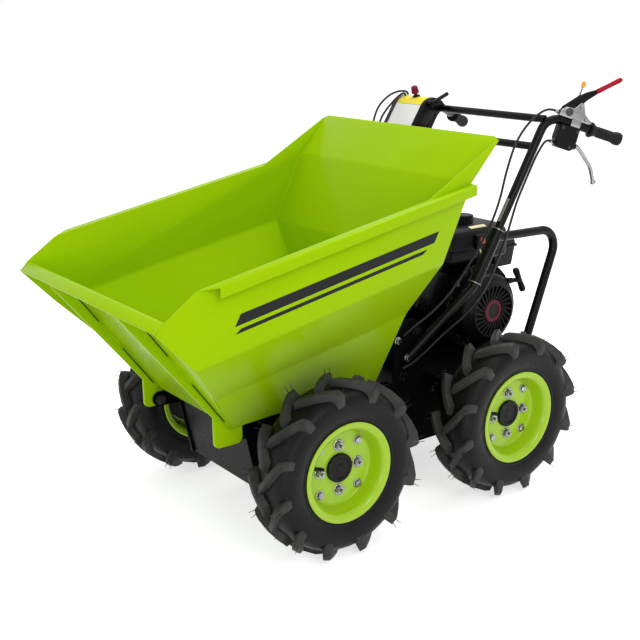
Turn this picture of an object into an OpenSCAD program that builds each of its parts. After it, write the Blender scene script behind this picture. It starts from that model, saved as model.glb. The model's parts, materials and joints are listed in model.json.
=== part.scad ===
// Walk-behind site dumper: a tipping skip in folded sheet steel on a low frame with
// four cleated wheels, an open petrol engine on the rear deck and a handlebar behind it.
// Millimetres. +X runs forward to the skip's lip, +Y to the operator's left, +Z up.
// The modules are drawn from the front axle's centre, on the ground; place() then moves
// the whole machine so that its origin lies on the ground under the middle of its length.

/* [Wheels] */
// Distance between the front and the rear axle
wheelbase = 528; // [490:1:600]
// Distance from the machine's centre plane to a wheel's centre plane
half_track = 308; // [300:1:330]
// Tyre radius over the lugs
tyre_r = 205; // [195:1:215]
// Tyre width over the lugs
tyre_w = 118; // [112:1:124]
// Height of a lug above the tyre's crown
lug_h = 17; // [10:1:22]
// Lugs on each side of the tread
lug_count = 12; // [9:1:14]
// Width of a lug along the tread
lug_w = 21; // [14:1:26]
// Radius of the rim's flange
rim_flange_r = 115.5; // [111:0.5:120]
// Radius of the rim's bead seat
rim_seat_r = 101; // [96:0.5:104]
// Width of the rim over its flanges
rim_w = 100; // [92:1:104]
// Sheet thickness of the rim
rim_t = 3.5; // [2.5:0.1:5]
// Depth of the wheel disc behind the outer flange
disc_depth = 42; // [34:1:48]
// Radius of the wheel disc's flat middle
disc_r = 83; // [82:0.5:88]
// Radius of the hub's cap
hub_cap_r = 33.5; // [30:0.5:38]
// Circle of the wheel nuts
nut_pcd = 105; // [96:1:112]
// Circle of the bolts that join the rim's halves
rim_bolt_pcd = 148; // [140:1:150]
// Radius of the wheel shafts
shaft_r = 12.5; // [11:0.1:14]
// Radius of the axle tubes
axle_tube_r = 24; // [20:0.5:28]

/* [Frame] */
// Distance from the centre plane to the outer face of a frame side plate
frame_half_w = 151; // [146:0.5:152]
// Thickness of the frame's plates
frame_t = 6; // [4:0.5:8]
// Height of the frame's lower edge
frame_low_z = 112; // [100:1:130]
// Height of the frame's upper edge ahead of the deck
frame_top_z = 286; // [276:1:288]
// Front end of the frame's upper edge
frame_front_x = 140; // [130:1:145]
// Backward lean of the frame's front plate, degrees from upright
frame_front_lean = 12; // [6:1:16]
// Rear end of the frame, behind the front axle
frame_rear_x = 768; // [750:1:790]
// Height of the engine deck
deck_z = 300; // [296:1:306]
// Distance from the centre plane to the deck's edge
deck_half_w = 216; // [212:1:222]
// Front end of the deck, behind the front axle
deck_front_x = 392; // [380:1:410]
// Lowest point of the gearbox
gearbox_low_z = 74; // [66:1:90]

/* [Skip] */
// Width of the skip over its side walls
skip_w = 654; // [640:1:664]
// Width over the knee between the middle and the lower side panels
skip_knee_w = 440; // [430:1:450]
// Width of the floor at its front end
floor_front_w = 344; // [338:1:352]
// Thickness of the skip's sheet, measured across the machine on the sides
wall = 3.2; // [2.5:0.1:4]
// Height of the floor's underside
floor_z = 297; // [294:1:302]
// Front end of the floor, ahead of the front axle
floor_front_x = 182; // [178:1:188]
// Back end of the floor, behind the front axle
floor_back_x = 256; // [250:1:262]
// Lean of the front plate, degrees from upright
front_lean = 36.2; // [34:0.1:38]
// Height of the front plate's upper edge
lip_z = 611; // [600:1:620]
// Length of the folded lip
lip_fold = 30; // [22:1:36]
// Height of the side wall's rim at its front end
rim_front_z = 665; // [655:1:675]
// Front end of the rim, ahead of the front axle
rim_front_x = 344; // [334:1:352]
// Height of the upper crease at its front end
crease_front_z = 505; // [498:1:512]
// Height of the knee at its front end
knee_front_z = 388; // [382:1:394]
// Rise of the rim and the creases towards the back, degrees
rim_rise = 10.3; // [9.5:0.1:11]
// Backward lean of the back wall below the crease, degrees
back_lean_low = 6; // [4:0.5:8]
// Backward lean of the back wall above the crease, degrees
back_lean_high = 25.3; // [22:0.1:28]
// Backward lean of the headboard, degrees
head_lean = 42.8; // [38:0.1:46]
// Height of the headboard's upper edge
head_z = 889; // [870:1:900]
// Length of the wing that stiffens the headboard, along the rim
wing_run = 128; // [110:1:150]
// Cut of the headboard's outer corners
head_corner = 13; // [6:1:20]
// Width of the rim's outward flange
flange_w = 22; // [16:1:26]
// Depth of the rim flange's turned-down edge
flange_drop = 24; // [16:1:30]
// Gap between a hinge arm and the frame's side
arm_gap = 5; // [4:0.5:7]
// Thickness of a hinge arm
arm_t = 8; // [6:0.5:9]

/* [Tipping hinge] */
// Hinge axis ahead of the front axle
hinge_x = 186; // [183:1:190]
// Height of the hinge axis
hinge_z = 271; // [269:1:273]
// Radius of the hinge pin
hinge_pin_r = 8; // [6:0.5:9]
// Outer radius of the frame's hinge eyes
hinge_eye_r = 18; // [15:0.5:19]

/* [Engine] */
// Crankshaft axis behind the front axle
crank_x = 640; // [630:1:650]
// Height of the crankshaft above the deck
crank_h = 110; // [106:1:114]
// Distance from the centre plane to the starter's outer face
starter_y = 152; // [146:1:160]
// Radius of the starter's cover
starter_r = 96; // [90:1:99]
// Radius of the fan housing
fan_r = 118; // [112:1:122]
// Ribs in the starter's grille
grille_ribs = 26; // [18:1:30]
// Slope of the cylinder above the level, degrees
cylinder_slope = 25; // [20:1:30]
// Length of the fuel tank
tank_l = 226; // [215:1:236]
// Width of the fuel tank
tank_w = 172; // [160:1:180]
// Height of the fuel tank
tank_h = 90; // [82:1:98]

/* [Handlebar] */
// Distance from the centre plane to an upright
upright_y = 200; // [196:1:206]
// Radius of the handlebar's tube
bar_r = 11; // [10:0.5:12]
// Radius of the bars between the uprights
cross_bar_r = 9.8; // [8:0.2:11]
// Radius of the sleeves that clamp the uprights
sleeve_r = 15.5; // [14:0.5:17]
// Radius of the rear guard's tube
guard_r = 11.4; // [10:0.2:12.6]
// Bend radius of the tubes
bend_r = 48; // [42:1:54]
// Distance from the centre plane to the end of a grip
grip_end_y = 282; // [270:1:290]
// Length of a grip
grip_l = 84; // [76:1:96]
// Radius of a grip's middle
grip_r = 14; // [13:0.5:15]
// Radius of the control cables
cable_r = 3; // [2.5:0.1:3.5]

/* [Hidden] */
round_fn = 48;
seat_gap = 0.2;
run_gap = 0.05;
side_gap = 0.4;
// Half the angle that a lug covers on the tread, and the axle's height with one lug flat on the ground
lug_half = atan(lug_w / 2 / tyre_r);
axle_z = tyre_r * cos(lug_half);
rear_x = -wheelbase;
// Distance from the centre plane to the middle of a hinge arm
arm_y = frame_half_w + arm_gap + arm_t / 2;

// Points of the left half of the handlebar: foot, knee, corner and end of the grip
bar_foot = [-338, frame_half_w + bar_r + seat_gap, 352];
bar_knee = [-512, upright_y, 505];
bar_top = [-754.5, upright_y, 909];
bar_end = [-930.5, grip_end_y, 843];
bar_path = [bar_foot, bar_knee, bar_top, bar_end];
upright_dir = unit(bar_top - bar_knee);
grip_dir = unit(bar_end - bar_top);
sleeve_s = [12, 156];

// Middles of the cross bars, seen from the side
lower_bar = bar_knee + upright_dir * 385;
cross_bars_at = [[-745, 900.5], [lower_bar.x, lower_bar.z]];

// Points of the left half of the rear guard: on the bracket, at the corner and on the deck
guard_start = bar_knee + upright_dir * 136;
guard_corner = [-822, upright_y, 615];
guard_foot = [-702, upright_y, deck_z + seat_gap];

// Left grip's own axes: to the side, up and along the bar, from the handlebar's corner
grip_side = unit(cross([0, 0, 1], grip_dir));
grip_up = cross(grip_dir, grip_side);

// Places along the left bar and above its axis: the clamp, the clutch lever's pivot, bend and tip
clamp_s = [26, 116];
clamp_half_w = 9;
clamp_t = 3;
lever_pivot = [49, 24.5];
lever_bend = [104, 92];
lever_tip = [153.5, 138];
lever_pin_r = 4;
lever_half_t = 3.5;
lever_grip_r = 6.5;

// Routes of the control cables
cable_y = frame_half_w + cable_r + 1;
clutch_cable = [
    [-781.26, 212.47, 916.9], [-768, 208.5, 921.5], [-752, 206, 924], [-736, 204, 921.5], [-720, 201, 914],
    [-704, 198, 903], [-688, 195, 889], [-668, 192, 866], [-648, 190, 833], [-626, 189, 775], [-608, 189, 715],
    [-586, 186, 660], [-556, 180, 606], [-520, 176, 556], [-480, 174, 512], [-436, 172, 474], [-392, 169, 446],
    [-352, 163, 424], [-326, cable_y, 404]
];
brake_cable = [
    [-771.4, 207.9, 840.7], [-758, 208, 846.5], [-746, 206.5, 846], [-736, 205, 838], [-727, 204, 826],
    [-712, 203.5, 805], [-680, 204, 752], [-650, 206, 702], [-624, 214, 660], [-600, 222, 622], [-566, 224, 560],
    [-532, 221, 500], [-486, 207, 444], [-434, 190, 402], [-385, 177, 362], [-350, 165, 334], [-326, cable_y, 322]
];
shift_cable = [
    [-724, -292, 931.5], [-723, -292.2, 936], [-717, -292.6, 940.5], [-704, -293, 943], [-688, -293, 942.5],
    [-668, -292, 938.5], [-646, -290, 930],
    [-616, -288, 909], [-595, -284, 878], [-575, -272, 835], [-556, -255, 780], [-534, -234, 710],
    [-507, -211, 630], [-476, -191, 548], [-438, -178, 482], [-400, -169, 432],
    [-360, -162, 404], [-326, -cable_y, 390]
];
tip_cable = [
    [-706, -282, 930.5], [-704.5, -282.4, 935], [-697, -283, 937.2], [-682, -284, 930.5],
    [-656, -284, 912], [-631, -282, 891],
    [-611, -278, 868], [-590, -266, 830], [-568, -248, 776], [-545, -226, 706], [-516, -203, 630],
    [-486, -184, 552], [-450, -172, 490], [-412, -165, 456], [-368, -160, 432], [-326, -cable_y, 416]
];
cables = [clutch_cable, brake_cable, shift_cable, tip_cable];

// Colours
paint = "yellowgreen";
black = [0.09, 0.09, 0.1];
rubber = [0.14, 0.14, 0.14];
steel = "silver";

// Vector helpers
function unit(v) = v / norm(v);
function across(d) = unit(cross(d, [0.21, 0.34, 0.92]));
function basis(x, y, z, p) = [
    [x.x, y.x, z.x, p.x],
    [x.y, y.y, z.y, p.y],
    [x.z, y.z, z.z, p.z],
    [0, 0, 0, 1]
];
function along_basis(p, d) = let (z = unit(d), x = across(d)) basis(x, cross(z, x), z, p);
function flip(p) = [p.x, -p.y, p.z];
function lerp(a, b, t) = a + (b - a) * t;

// Skip: straight lines of its sides, seen from the side, and where they cross
function rim_line(x) = rim_front_z + (rim_front_x - x) * tan(rim_rise);
function crease_line(x) = crease_front_z + (crease_front_x - x) * tan(rim_rise);
function knee_line(x) = knee_front_z + (knee_front_x - x) * tan(rim_rise);
function front_line(z) = floor_front_x + (z - floor_z) * tan(front_lean);
// Crossing of a rising line through [x, z] with a wall that leans from [wx, wz] by k per height
function cross_line(x, z, wx, wz, k) = let (
    s = tan(rim_rise),
    h = (z + s * (x - wx + k * wz)) / (1 + s * k)
) [wx + k * (h - wz), h];

nose = 20;
crease_front_x = front_line(crease_front_z) + nose;
knee_front_x = front_line(knee_front_z);
lip_top = [front_line(lip_z), lip_z];
plate_dir = [sin(front_lean), cos(front_lean)];
lip_dir = [cos(front_lean), -sin(front_lean)];
lip_end = lip_top + lip_fold * lip_dir;
back_low = -tan(back_lean_low);
back_high = -tan(back_lean_high);
back_head = -tan(head_lean);
back_foot = [-floor_back_x, floor_z];
back_knee = cross_line(knee_front_x, knee_front_z, back_foot.x, back_foot.y, back_low);
back_crease = cross_line(crease_front_x, crease_front_z, back_foot.x, back_foot.y, back_low);
back_rim = cross_line(rim_front_x, rim_front_z, back_crease.x, back_crease.y, back_high);
back_top = [back_rim.x + back_head * (head_z - back_rim.y), head_z];
wing_foot = [back_rim.x + wing_run, rim_line(back_rim.x + wing_run) - wall / 2];

// Reach of the machine ahead of and behind the front axle, and the move to its middle
front_reach = lip_end.x;
grip_cap = 5;
grip_cap_r = 15;
grip_end_r = 16.8;
grip_collar_r = 19.5;
rear_reach = (bar_end + grip_dir * grip_cap).x - grip_cap_r * sqrt(1 - pow(grip_dir.x, 2));
datum_x = -(front_reach + rear_reach) / 2;

// Distance from the centre plane to the outer face of the skip's side at a point seen from the side
function side_y(p) = let (
    crease = crease_line(p.x),
    knee = knee_line(p.x)
) p.y >= crease ? skip_w / 2
    : p.y >= knee ? lerp(skip_knee_w, skip_w, (p.y - knee) / (crease - knee)) / 2
    : skip_knee_w / 2 - lower_flare * (knee - p.y);

// Inward run of the lower side panel for each millimetre down
lower_flare = (skip_knee_w - floor_front_w) / 2 / (knee_line(floor_front_x) - floor_z);

module place() {
    translate([datum_x, 0, 0]) children();
}

module both_sides() {
    children();
    mirror([0, 1, 0]) children();
}

// Upright turned so that its +Z runs along +Y
module across_machine() {
    rotate([-90, 0, 0]) children();
}

// Plate standing fore and aft: its outline in x and z, from y0 to y1
module side_plate(y0, y1) {
    translate([0, y1, 0]) rotate([90, 0, 0]) linear_extrude(y1 - y0) children();
}

module rod(a, b, r) {
    multmatrix(along_basis(a, b - a)) cylinder(h = norm(b - a), r = r, $fn = round_fn);
}

// Swelling of a tube where it is bent
bend_swell = 0.15;

// Round tube through points, with a bend of one radius at each corner
module bent_tube(points, r, bend) {
    last = len(points) - 1;
    dirs = [for (i = [0 : last - 1]) unit(points[i + 1] - points[i])];
    turns = [for (i = [0 : last]) i == 0 || i == last ? 0 : acos(dirs[i - 1] * dirs[i])];
    trims = [for (a = turns) bend * tan(a / 2)];
    into = 1;
    for (i = [0 : last - 1])
        rod(points[i] + dirs[i] * (trims[i] - (i == 0 ? 0 : into)),
            points[i + 1] - dirs[i] * (trims[i + 1] - (i == last - 1 ? 0 : into)), r);
    for (i = [1 : 1 : last - 1]) {
        axis = unit(cross(dirs[i - 1], dirs[i]));
        inward = cross(axis, dirs[i - 1]);
        start = points[i] - dirs[i - 1] * trims[i];
        multmatrix(basis(-inward, dirs[i - 1], axis, start + inward * bend))
            rotate_extrude(angle = turns[i], $fn = round_fn)
                translate([bend, 0]) circle(r + bend_swell, $fn = round_fn);
    }
}

// Tube swept through a list of points, its rings square to the route and r by flat_r
module swept(points, r, sides, flat_r) {
    last = len(points) - 1;
    rings = [for (i = [0 : last]) let (
        d = unit(points[min(i + 1, last)] - points[max(i - 1, 0)]),
        x = unit(cross(d, [0.2, 1, 0.1])),
        y = cross(d, x)
    ) for (k = [0 : sides - 1]) points[i] + flat_r * x * cos(360 * k / sides) + r * y * sin(360 * k / sides)];
    walls = [for (i = [0 : last - 1], k = [0 : sides - 1]) let (n = (k + 1) % sides)
        [(i + 1) * sides + k, (i + 1) * sides + n, i * sides + n, i * sides + k]];
    ends = [[for (k = [0 : sides - 1]) k], [for (k = [sides - 1 : -1 : 0]) last * sides + k]];
    polyhedron(points = rings, faces = concat(walls, ends));
}

// Solid across the machine: a closed outline in x and z, as wide at each point as the skip's inside
module skip_panel(outline) {
    count = len(outline);
    half = [for (p = outline) side_y(p) - wall - seat_gap];
    points = concat(
        [for (i = [0 : count - 1]) [outline[i].x, half[i], outline[i].y]],
        [for (i = [0 : count - 1]) [outline[i].x, -half[i], outline[i].y]]
    );
    bridge = [for (i = [0 : count / 2 - 2]) [i, i + 1, count - 2 - i, count - 1 - i]];
    walls = [for (i = [0 : count - 1]) let (n = (i + 1) % count) [i, i + count, n + count, n]];
    polyhedron(points = points, faces = concat(
        [for (f = bridge) f],
        [for (f = bridge) [for (k = [3 : -1 : 0]) f[k] + count]],
        walls
    ));
}

// Skip

// Outline of the left side wall, seen from the side, from the rim's front end forward and round
side_outline = [
    [rim_front_x, rim_front_z - wall / 2], lip_top + [4, 4], lip_end, [crease_front_x, crease_front_z],
    [knee_front_x, knee_front_z], [floor_front_x, floor_z], back_foot, back_knee, back_crease, back_rim,
    back_top + head_corner * unit(back_rim - back_top), back_top + head_corner * unit(wing_foot - back_top),
    wing_foot
];

module side_wall() {
    count = len(side_outline);
    upper = [[0, 1, 2], [0, 2, 3], [0, 3, 8], [0, 8, 12], [8, 9, 12], [9, 10, 12], [10, 11, 12]];
    middle = [[3, 4, 7], [3, 7, 8]];
    lower = [[4, 5, 6], [4, 6, 7]];
    outer = [for (p = side_outline) [p.x, side_y(p), p.y]];
    inner = [for (p = outer) p - [0, wall, 0]];
    facets = concat(upper, middle, lower);
    polyhedron(points = concat(outer, inner), faces = concat(
        [for (f = facets) [for (k = [len(f) - 1 : -1 : 0]) f[k]]],
        [for (f = facets) [for (k = f) k + count]],
        [for (i = [0 : count - 1]) let (n = (i + 1) % count) [i, n, n + count, i + count]]
    ));
}

// Flange along the rim: outward, then turned down, cut on the slant at its front end
module rim_flange() {
    root = skip_w / 2 - wall * 0.8;
    end = 4;
    edge = skip_w / 2 + flange_w;
    section = [
        [root, 0], [edge, 0], [edge, -flange_drop], [edge - wall, -flange_drop], [edge - wall, -wall],
        [root, -wall]
    ];
    cut = flange_w * 1.6;
    count = len(section);
    front = [for (s = section) let (x = rim_front_x - end - cut * (s.x - root) / (edge - root))
        [x, s.x, rim_line(x) + s.y]];
    back = [for (s = section) let (x = back_rim.x + end) [x, s.x, rim_line(x) + s.y]];
    polyhedron(points = concat(front, back), faces = concat(
        [[0, 1, 4, 5], [1, 2, 3, 4], [11, 10, 7, 6], [10, 9, 8, 7]],
        [for (i = [0 : count - 1]) let (n = (i + 1) % count) [i + count, n + count, n, i]]
    ));
}

module skip_side() {
    color(paint) {
        side_wall();
        rim_flange();
    }
}

module skip_side_left() {
    place() skip_side();
}

module skip_side_right() {
    place() mirror([0, 1, 0]) skip_side();
}

// Floor and front plate in one folded sheet, with the lip turned over at the top
module skip_floor() {
    slip = wall / cos(front_lean);
    inner_x = floor_front_x - slip;
    inner_k = tan(front_lean);
    back_gap = [-floor_back_x + wall / cos(back_lean_low) + seat_gap, floor_z];
    under = [
        back_gap, [floor_front_x, floor_z],
        cross_line(knee_front_x, knee_front_z, floor_front_x, floor_z, inner_k),
        cross_line(crease_front_x, crease_front_z, floor_front_x, floor_z, inner_k),
        lip_top - wall * plate_dir, lip_end - wall * plate_dir
    ];
    over = [
        back_gap + [0, wall], [inner_x + wall * inner_k, floor_z + wall],
        cross_line(knee_front_x, knee_front_z, inner_x, floor_z, inner_k),
        cross_line(crease_front_x, crease_front_z, inner_x, floor_z, inner_k),
        lip_top - wall * lip_dir, lip_end
    ];
    place() color(paint) skip_panel(concat(under, [for (i = [len(over) - 1 : -1 : 0]) over[i]]));
}

// Back wall and headboard, bent at the crease and at the rim
module skip_back() {
    slip_low = wall / cos(back_lean_low);
    slip_high = wall / cos(back_lean_high);
    slip_head = wall / cos(head_lean);
    inner_foot = back_foot + [slip_low, 0];
    inner_crease = cross_line(crease_front_x, crease_front_z, inner_foot.x, inner_foot.y, back_low);
    inner_rim = cross_line(rim_front_x, rim_front_z, back_crease.x + slip_high, back_crease.y, back_high);
    behind = [back_foot, back_knee, back_crease, back_rim, back_top];
    ahead = [
        inner_foot, cross_line(knee_front_x, knee_front_z, inner_foot.x, inner_foot.y, back_low),
        inner_crease, inner_rim, back_top + [slip_head, 0]
    ];
    edge = skip_w / 2;
    cut = wall + head_corner + 1;
    place() color(paint) difference() {
        skip_panel(concat(ahead, [for (i = [len(behind) - 1 : -1 : 0]) behind[i]]));
        both_sides() translate([back_top.x - head_z / 2, 0, 0]) rotate([90, 0, 90]) linear_extrude(head_z)
            polygon([[edge, head_z + 1], [edge - cut, head_z + 1], [edge, head_z + 1 - cut]]);
    }
}

// Two arms under the front plate that end in the hinge's ears
module skip_arms() {
    ear_half = 36;
    ear_drop = 18;
    ear_round = 14;
    ear_rise = 28;
    ear_front = hinge_x + ear_half;
    ear_back = hinge_x - ear_half;
    ear_low = hinge_z - ear_drop;
    clear = [seat_gap / cos(front_lean), 0];
    under_lip = -(wall + seat_gap) * plate_dir;
    place() color(paint) both_sides() side_plate(arm_y - arm_t / 2, arm_y + arm_t / 2) {
        polygon([
            [ear_back, floor_z - seat_gap], [floor_front_x, floor_z - seat_gap] + clear,
            lip_top + under_lip + seat_gap * lip_dir, lip_end + under_lip, [ear_front, floor_z + ear_rise],
            [ear_front, ear_low + ear_round], [ear_back, ear_low + ear_round]
        ]);
        translate([ear_back + ear_round, ear_low]) square([2 * (ear_half - ear_round), ear_round]);
        for (x = [ear_back + ear_round, ear_front - ear_round])
            translate([x, ear_low + ear_round]) circle(ear_round, $fn = round_fn);
    }
}

// Wheels

// Point on a wheel at a radius, a distance along its axle and an angle
function on_wheel(r, y, a) = [r * cos(a), y, r * sin(a)];

// One lug, from the middle of the tread out and back over the shoulder; side is 1 or -1
module lug(side) {
    root_r = tyre_r - lug_h - 6;
    shoulder_y = side * (tyre_w / 2 - 9);
    edge_y = side * (tyre_w / 2);
    sweep = 20;
    half = lug_half;
    half_root = half * 1.5;
    points = [
        on_wheel(tyre_r, -side * 3, -half), on_wheel(tyre_r, -side * 3, half),
        on_wheel(root_r, -side * 7, -half_root), on_wheel(root_r, -side * 7, half_root),
        on_wheel(tyre_r - 4, shoulder_y, sweep - half), on_wheel(tyre_r - 4, shoulder_y, sweep + half),
        on_wheel(tyre_r - 16, edge_y, sweep - half), on_wheel(tyre_r - 16, edge_y, sweep + half),
        on_wheel(tyre_r - 46, edge_y - side * 9, sweep - half_root),
        on_wheel(tyre_r - 46, edge_y - side * 9, sweep + half_root)
    ];
    hull() polyhedron(points = points, faces = [
        [0, 1, 3, 2], [4, 5, 1, 0], [4, 6, 7, 5], [6, 8, 9, 7], [2, 3, 9, 8], [0, 2, 8, 6, 4], [1, 5, 7, 9, 3]
    ]);
}

module tyre() {
    facets = 26;
    crown = tyre_r - lug_h;
    bead = (rim_w / 2 - rim_t) - seat_gap;
    belly = tyre_w / 2 - 5;
    bore = rim_seat_r / cos(180 / facets) + seat_gap;
    half = [
        [bore, bead], [rim_flange_r + 2, bead], [rim_flange_r + 16, belly], [crown - 24, belly], [crown, belly - 22]
    ];
    color(rubber) union() {
        across_machine() rotate_extrude($fn = facets)
            polygon(concat(half, [for (i = [len(half) - 1 : -1 : 0]) [half[i].x, -half[i].y]]));
        for (i = [0 : lug_count - 1]) {
            rotate([0, 360 * i / lug_count, 0]) lug(1);
            rotate([0, 360 * (i + 0.5) / lug_count, 0]) lug(-1);
        }
    }
}

// Pressed rim: flanges, barrel and a bowl that sinks to the flat disc
module rim() {
    edge = rim_w / 2;
    face = edge - disc_depth;
    inside = rim_seat_r - rim_t;
    bowl_edge = 5;
    bowl_rise = 7;
    color(paint) difference() {
        across_machine() rotate_extrude($fn = round_fn) polygon([
            [hub_spigot_r + seat_gap, face - disc_t], [disc_r + 1, face - disc_t],
            [inside, face + bowl_rise - disc_t],
            [inside, -edge], [rim_flange_r, -edge], [rim_flange_r, -edge + rim_t], [rim_seat_r, -edge + rim_t],
            [rim_seat_r, edge - rim_t], [rim_flange_r, edge - rim_t], [rim_flange_r, edge],
            [inside + bowl_edge, edge],
            [inside, edge - bowl_edge], [disc_r + bowl_edge, face + bowl_rise], [disc_r, face],
            [hub_spigot_r + seat_gap, face]
        ]);
        for (a = [0 : 90 : 270]) {
            rotate([0, a, 0]) stud_hole(nut_pcd / 2);
            rotate([0, a + 45, 0]) stud_hole(rim_bolt_pcd / 2);
        }
    }
}

module stud_hole(r) {
    translate([r, 0, 0]) across_machine()
        cylinder(h = 2 * rim_w, r = stud_r + seat_gap, center = true, $fn = 24);
}

disc_t = 5;
hub_spigot_r = 26;
stud_r = 4;
hub_flange_t = 8;
hub_end = 56;

// Hub: sleeve on the shaft, flange with studs and nuts, and the cap over the shaft's end
module hub() {
    face = rim_w / 2 - disc_depth;
    back = face - disc_t;
    flange_r = rim_bolt_pcd / 2 + 8;
    color(black) difference() {
        union() {
            across_machine() rotate_extrude($fn = round_fn) polygon([
                [0, -hub_end], [axle_tube_r, -hub_end], [axle_tube_r, back - hub_flange_t - 10],
                [flange_r, back - hub_flange_t], [flange_r, back - seat_gap], [hub_spigot_r, back - seat_gap],
                [hub_spigot_r, face + seat_gap], [hub_cap_r, face + seat_gap], [hub_cap_r, face + 6],
                [hub_cap_r - 3, face + 9], [0, face + 9]
            ]);
            for (a = [0 : 90 : 270]) {
                rotate([0, a, 0]) stud(nut_pcd / 2, 9);
                rotate([0, a + 45, 0]) stud(rim_bolt_pcd / 2, 7.5);
            }
        }
        across_machine() translate([0, 0, -hub_end - 1])
            cylinder(h = hub_end + 1 + shaft_end + 2, r = shaft_r + run_gap, $fn = round_fn);
    }
}

shaft_end = 4;

// Stud with its nut on the disc's face
module stud(r, nut_r) {
    face = rim_w / 2 - disc_depth;
    translate([r, 0, 0]) across_machine() {
        translate([0, 0, face - disc_t - 2]) cylinder(h = disc_t + 14, r = stud_r, $fn = 24);
        translate([0, 0, face + seat_gap]) cylinder(h = 7, r = nut_r, $fn = 6);
    }
}

module at_wheel(x, side) {
    translate([x, side * half_track, axle_z]) mirror([0, side < 0 ? 1 : 0, 0]) children();
}

module tyre_front_left() { place() at_wheel(0, 1) tyre(); }
module tyre_front_right() { place() at_wheel(0, -1) tyre(); }
module tyre_rear_left() { place() at_wheel(rear_x, 1) tyre(); }
module tyre_rear_right() { place() at_wheel(rear_x, -1) tyre(); }
module rim_front_left() { place() at_wheel(0, 1) rim(); }
module rim_front_right() { place() at_wheel(0, -1) rim(); }
module rim_rear_left() { place() at_wheel(rear_x, 1) rim(); }
module rim_rear_right() { place() at_wheel(rear_x, -1) rim(); }
module hub_front_left() { place() at_wheel(0, 1) hub(); }
module hub_front_right() { place() at_wheel(0, -1) hub(); }
module hub_rear_left() { place() at_wheel(rear_x, 1) hub(); }
module hub_rear_right() { place() at_wheel(rear_x, -1) hub(); }

// Axle: a tube through the frame's sides with a solid shaft out to both hubs
module axle(x) {
    tube = half_track - hub_end - 4;
    color(black) translate([x, 0, axle_z]) across_machine() {
        cylinder(h = 2 * tube, r = axle_tube_r, center = true, $fn = round_fn);
        cylinder(h = 2 * (half_track + shaft_end), r = shaft_r, center = true, $fn = round_fn);
    }
}

module front_axle() {
    place() axle(0);
}

module rear_axle() {
    place() axle(rear_x);
}

// Frame

module frame_side() {
    low_front = frame_front_x - (frame_top_z - frame_low_z) * tan(frame_front_lean);
    tower_front = -floor_back_x - 44;
    under_deck = deck_z - frame_t - seat_gap;
    nose_low = hinge_z - hinge_eye_r;
    nose = [for (a = [90 : -15 : -90]) [hinge_x + hinge_eye_r * cos(a), hinge_z + hinge_eye_r * sin(a)]];
    outline = [
        [frame_front_x - (frame_top_z - nose_low) * tan(frame_front_lean), nose_low],
        [low_front, frame_low_z], [-frame_rear_x + rear_cut, frame_low_z],
        [-frame_rear_x, frame_low_z + rear_rise],
        [-frame_rear_x, under_deck], [-deck_front_x + seat_gap, under_deck],
        [-deck_front_x + seat_gap, tower_z - 30], [-deck_front_x + 30, tower_z],
        [tower_front, tower_z], [tower_front, frame_top_z]
    ];
    color(black) side_plate(frame_half_w - frame_t, frame_half_w) difference() {
        polygon(concat(nose, outline));
        translate([hinge_x, hinge_z]) circle(hinge_pin_r + run_gap, $fn = round_fn);
        for (x = [0, rear_x]) translate([x, axle_z]) circle(axle_tube_r + seat_gap, $fn = round_fn);
    }
}

tower_z = 442;

module frame_side_left() {
    place() frame_side();
}

module frame_side_right() {
    place() mirror([0, 1, 0]) frame_side();
}

// Front plate of the frame, leaning with the side plates' front edges
module frame_front() {
    half = frame_half_w - frame_t - seat_gap;
    run = tan(frame_front_lean);
    top = [frame_front_x - 8, frame_top_z - 8];
    low = [top.x - (top.y - frame_low_z) * run, frame_low_z];
    place() color(black) side_plate(-half, half) polygon([
        top, low, low - [60, 0], low + [-60, frame_t], low + [-frame_t, frame_t], top - [frame_t, 0]
    ]);
}

// Engine deck
module deck() {
    place() color(black) translate([-frame_rear_x, -deck_half_w, deck_z - frame_t])
        cube([frame_rear_x - deck_front_x, 2 * deck_half_w, frame_t]);
}

// Rear plate of the frame under the deck, with its lashing hole
module frame_rear() {
    half = frame_half_w - frame_t - seat_gap;
    low = frame_low_z + rear_rise;
    place() color(black) difference() {
        translate([-frame_rear_x, -half, low]) cube([frame_t, 2 * half, deck_z - frame_t - seat_gap - low]);
        translate([-frame_rear_x - 1, 0, lashing_z]) rotate([0, 90, 0])
            cylinder(h = frame_t + 2, r = lashing_r, $fn = round_fn);
    }
}

lashing_z = 240;
lashing_r = 10;
rear_rise = 80;
rear_cut = 70;

// Gearbox between the axles, hung on a beam between the side plates
module gearbox() {
    half = frame_half_w - frame_t - seat_gap;
    middle = rear_x + 148;
    half_l = 90;
    half_w = 96;
    top = frame_top_z - 14;
    slope = [40, 50];
    beam_h = 30;
    place() color(black) {
        side_plate(-half_w, half_w) polygon([
            [middle + half_l, top], [middle + half_l, gearbox_low_z + slope.y],
            [middle + half_l - slope.x, gearbox_low_z], [middle - half_l + slope.x, gearbox_low_z],
            [middle - half_l, gearbox_low_z + slope.y], [middle - half_l, top]
        ]);
        translate([middle - half_l + beam_h, -half, top - beam_h])
            cube([2 * (half_l - beam_h), 2 * half, beam_h]);
        both_sides() translate([middle, half_w - 4, (gearbox_low_z + top) / 2 - beam_h]) across_machine()
            cylinder(h = 16, r1 = 62, r2 = 54, $fn = round_fn);
    }
}

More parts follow.
